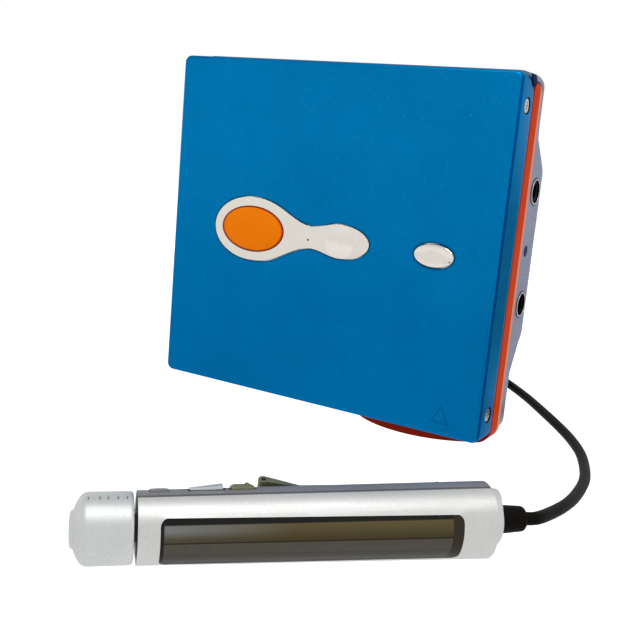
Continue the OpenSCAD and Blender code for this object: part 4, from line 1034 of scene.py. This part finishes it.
# %% [markdown]
# ## Rings of the sockets
# A thin bright ring lines each socket in the case's side. It is a torus, pressed a little flat
# with a resize. One loop makes both, because they differ only in their height.

# %% Socket rings
ring_r = 2.5
ring_wire_r = 0.13
ring_flat = 0.7
side_x = 40.1
socket_y = 6.7
for name, socket_z in (("phones_ring", 52.9), ("power_ring", 29.2)):
    middle = (side_x * mm, socket_y * mm, socket_z * mm)
    bpy.ops.mesh.primitive_torus_add(major_radius=ring_r * mm, minor_radius=ring_wire_r * mm,
                                     major_segments=72, minor_segments=12, location=middle,
                                     rotation=(0, pi / 2, 0))
    ring = bpy.context.object
    edit_all("VERT")
    bpy.ops.transform.resize(value=(ring_flat, 1, 1), center_override=middle)
    leave_edit()
    settle(ring, name, "player", steel_pin)

# %% [markdown]
# ## Pivot dot
# A tiny dark dot marks the spot on the spoon plate's neck under which it rocks. It is the end of
# a pin, a small cylinder with a bevelled rim, and it moves with the plate.

# %% Pivot dot
dot_r = 0.23 * mm
dot_depth = 0.1 * mm
dot_place = (-3.4 * mm, -10.07 * mm, 38.04 * mm)
bpy.ops.mesh.primitive_cylinder_add(vertices=32, radius=dot_r, depth=dot_depth, rotation=(pi / 2, 0, 0),
                                    location=dot_place)
dot = bpy.context.object
bevel_all(0.02)
settle(dot, "pivot_dot", "rocker", black_plastic)

# %% [markdown]
# ## Hold and stop keys
# Two keys stand on top of the remote. The hold key is a ramp that slides, the stop key a long low
# pad with a nub for the finger. Each starts as a block whose underside is inset and drawn down
# into the slot. Then the ramp's end is drawn out over the rim, the pad's top is inset and lifted, and
# a second small block is joined to the pad as its nub.

# %% Top keys
key_turn = remote_frame @ Matrix.Rotation(radians(-10), 4, "X")
key_half_width = 0.78


def block(low, high):
    middle = [(a + b) / 2 * mm for a, b in zip(low, high)]
    bpy.ops.mesh.primitive_cube_add(size=1, location=middle)
    piece = bpy.context.object
    piece.scale = [(b - a) * mm for a, b in zip(low, high)]
    fix_place(piece)
    return piece


def draw_down(piece, foot_z, depth):
    pick(piece, "FACE", lambda p: abs(p.z - foot_z) < 0.01)
    bpy.ops.mesh.inset(thickness=0.1 * mm)
    bpy.ops.mesh.extrude_region_move(TRANSFORM_OT_translate={"value": (0, 0, -depth * mm)})
    leave_edit()


def draw_out(piece, wanted, way):
    pick(piece, "VERT", wanted)
    bpy.ops.transform.translate(value=[a * mm for a in way])
    leave_edit()


hold_start = 16.15
hold_end = 19.85
hold_r = barrel_radius((hold_start + hold_end) / 2) / mm
hold_foot = hold_r + 0.05
hold = block((hold_start, -key_half_width, hold_foot), (hold_end, key_half_width, hold_r + 0.62))
draw_down(hold, hold_foot, 0.9)
draw_out(hold, lambda p: p.x > hold_end - 0.05 and p.z > hold_r, (0.9, 0, 0))
draw_out(hold, lambda p: p.x < hold_start + 0.05 and p.z > hold_r + 0.5, (0, 0, -0.5))
soften(hold, 0.06)
settle(hold, "hold_cap", "remote_hold_key", remote_silver, turned=key_turn)
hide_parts("remote_hold")

stop_start = 21.9
stop_end = 25.3
stop_r = barrel_radius((stop_start + stop_end) / 2) / mm
stop_foot = stop_r - 0.1
stop = block((stop_start, -key_half_width, stop_foot), (stop_end, key_half_width, stop_r + 0.2))
draw_down(stop, stop_foot, 0.75)
pick(stop, "FACE", lambda p: p.z > stop_r + 0.15)
bpy.ops.mesh.inset(thickness=0.55 * mm)
bpy.ops.transform.translate(value=(-0.1 * mm, 0, 0.34 * mm))
leave_edit()
nub = block((23.9, -0.22, stop_r + 0.3), (24.5, 0.22, stop_r + 0.76))
soften(nub, 0.1)
join([stop, nub])
soften(stop, 0.05)
settle(stop, "stop_cap", "remote_stop_key", remote_key, turned=key_turn)
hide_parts("remote_stop")

# %% [markdown]
# ## The clip
# The clip's arm turns on a pin behind the barrel. Its knuckle stands higher than the solid's, so
# that it shows above the barrel and slopes down along the arm. The solid's mesh is copied and
# merged, and only the points of the knuckle's upper flank are moved outwards, hole and all.

# %% Clip
clip_turn = remote_frame @ Matrix.Rotation(radians(-75), 4, "X")
clip_back = clip_turn.inverted()
knuckle_end = 30 * mm
knuckle_flank = -1.95 * mm
knuckle_rise = 1.3 * mm


def on_knuckle(p):
    place = clip_back @ (p * mm)
    return place.y < knuckle_flank and place.x < knuckle_end


clip = bpy.data.objects.new("clip_cover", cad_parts["clip_arm"].data.copy())
bpy.context.scene.collection.objects.link(clip)
only(clip)
edit_all("VERT")
bpy.ops.mesh.remove_doubles(threshold=0.001 * mm)
leave_edit()
pick(clip, "VERT", on_knuckle)
bpy.ops.transform.translate(value=clip_turn.to_3x3() @ Vector((0, -knuckle_rise, 0)))
leave_edit()
settle(clip, "clip_cover", "clip", remote_key)
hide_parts("clip_arm")

# %% [markdown]
# ## Hinge gap shade
# At each top corner the end of the hinge between lid and frame lies in shade. A thin dark block
# stands there as painted shade: it is cut to five corners by four bisecting planes, with its rim
# bevelled.

# %% Hinge gap shade
gap_shade_x = (40.02, 40.2)
gap_shade_y = (-6.5, -1.3)
gap_shade_z = (73.3, 75.5)
gap_shade_cuts = [((-2.8, 75.5), (-1.3, 74.1)), ((-1.3, 74.1), (-3.5, 73.3)), ((-3.5, 73.3), (-5.2, 74.3)),
              ((-5.2, 74.3), (-6.5, 75.5))]
gap_shade_blue = moulded("gap_shade_blue", srgb(3, 18, 52), srgb(8, 40, 96), 0.45, 0.6)
gap_shade_blue.node_tree.nodes["Principled BSDF"].inputs["IOR"].default_value = 1.08
# a thin dark block as painted shade in each hinge gap
for name, side in (("hinge_gap_shade_right", 1), ("hinge_gap_shade_left", -1)):
    near, far = sorted(side * x for x in gap_shade_x)
    gap_shade = block((near, gap_shade_y[0], gap_shade_z[0]), (far, gap_shade_y[1], gap_shade_z[1]))
    for (y0, z0), (y1, z1) in gap_shade_cuts:
        edit_all("EDGE")
        bpy.ops.mesh.bisect(plane_co=(0, y0 * mm, z0 * mm), plane_no=(0, z1 - z0, y0 - y1), use_fill=True,
                            clear_inner=True)
        leave_edit()
    soften(gap_shade, 0.05)
    settle(gap_shade, name, "player", gap_shade_blue)
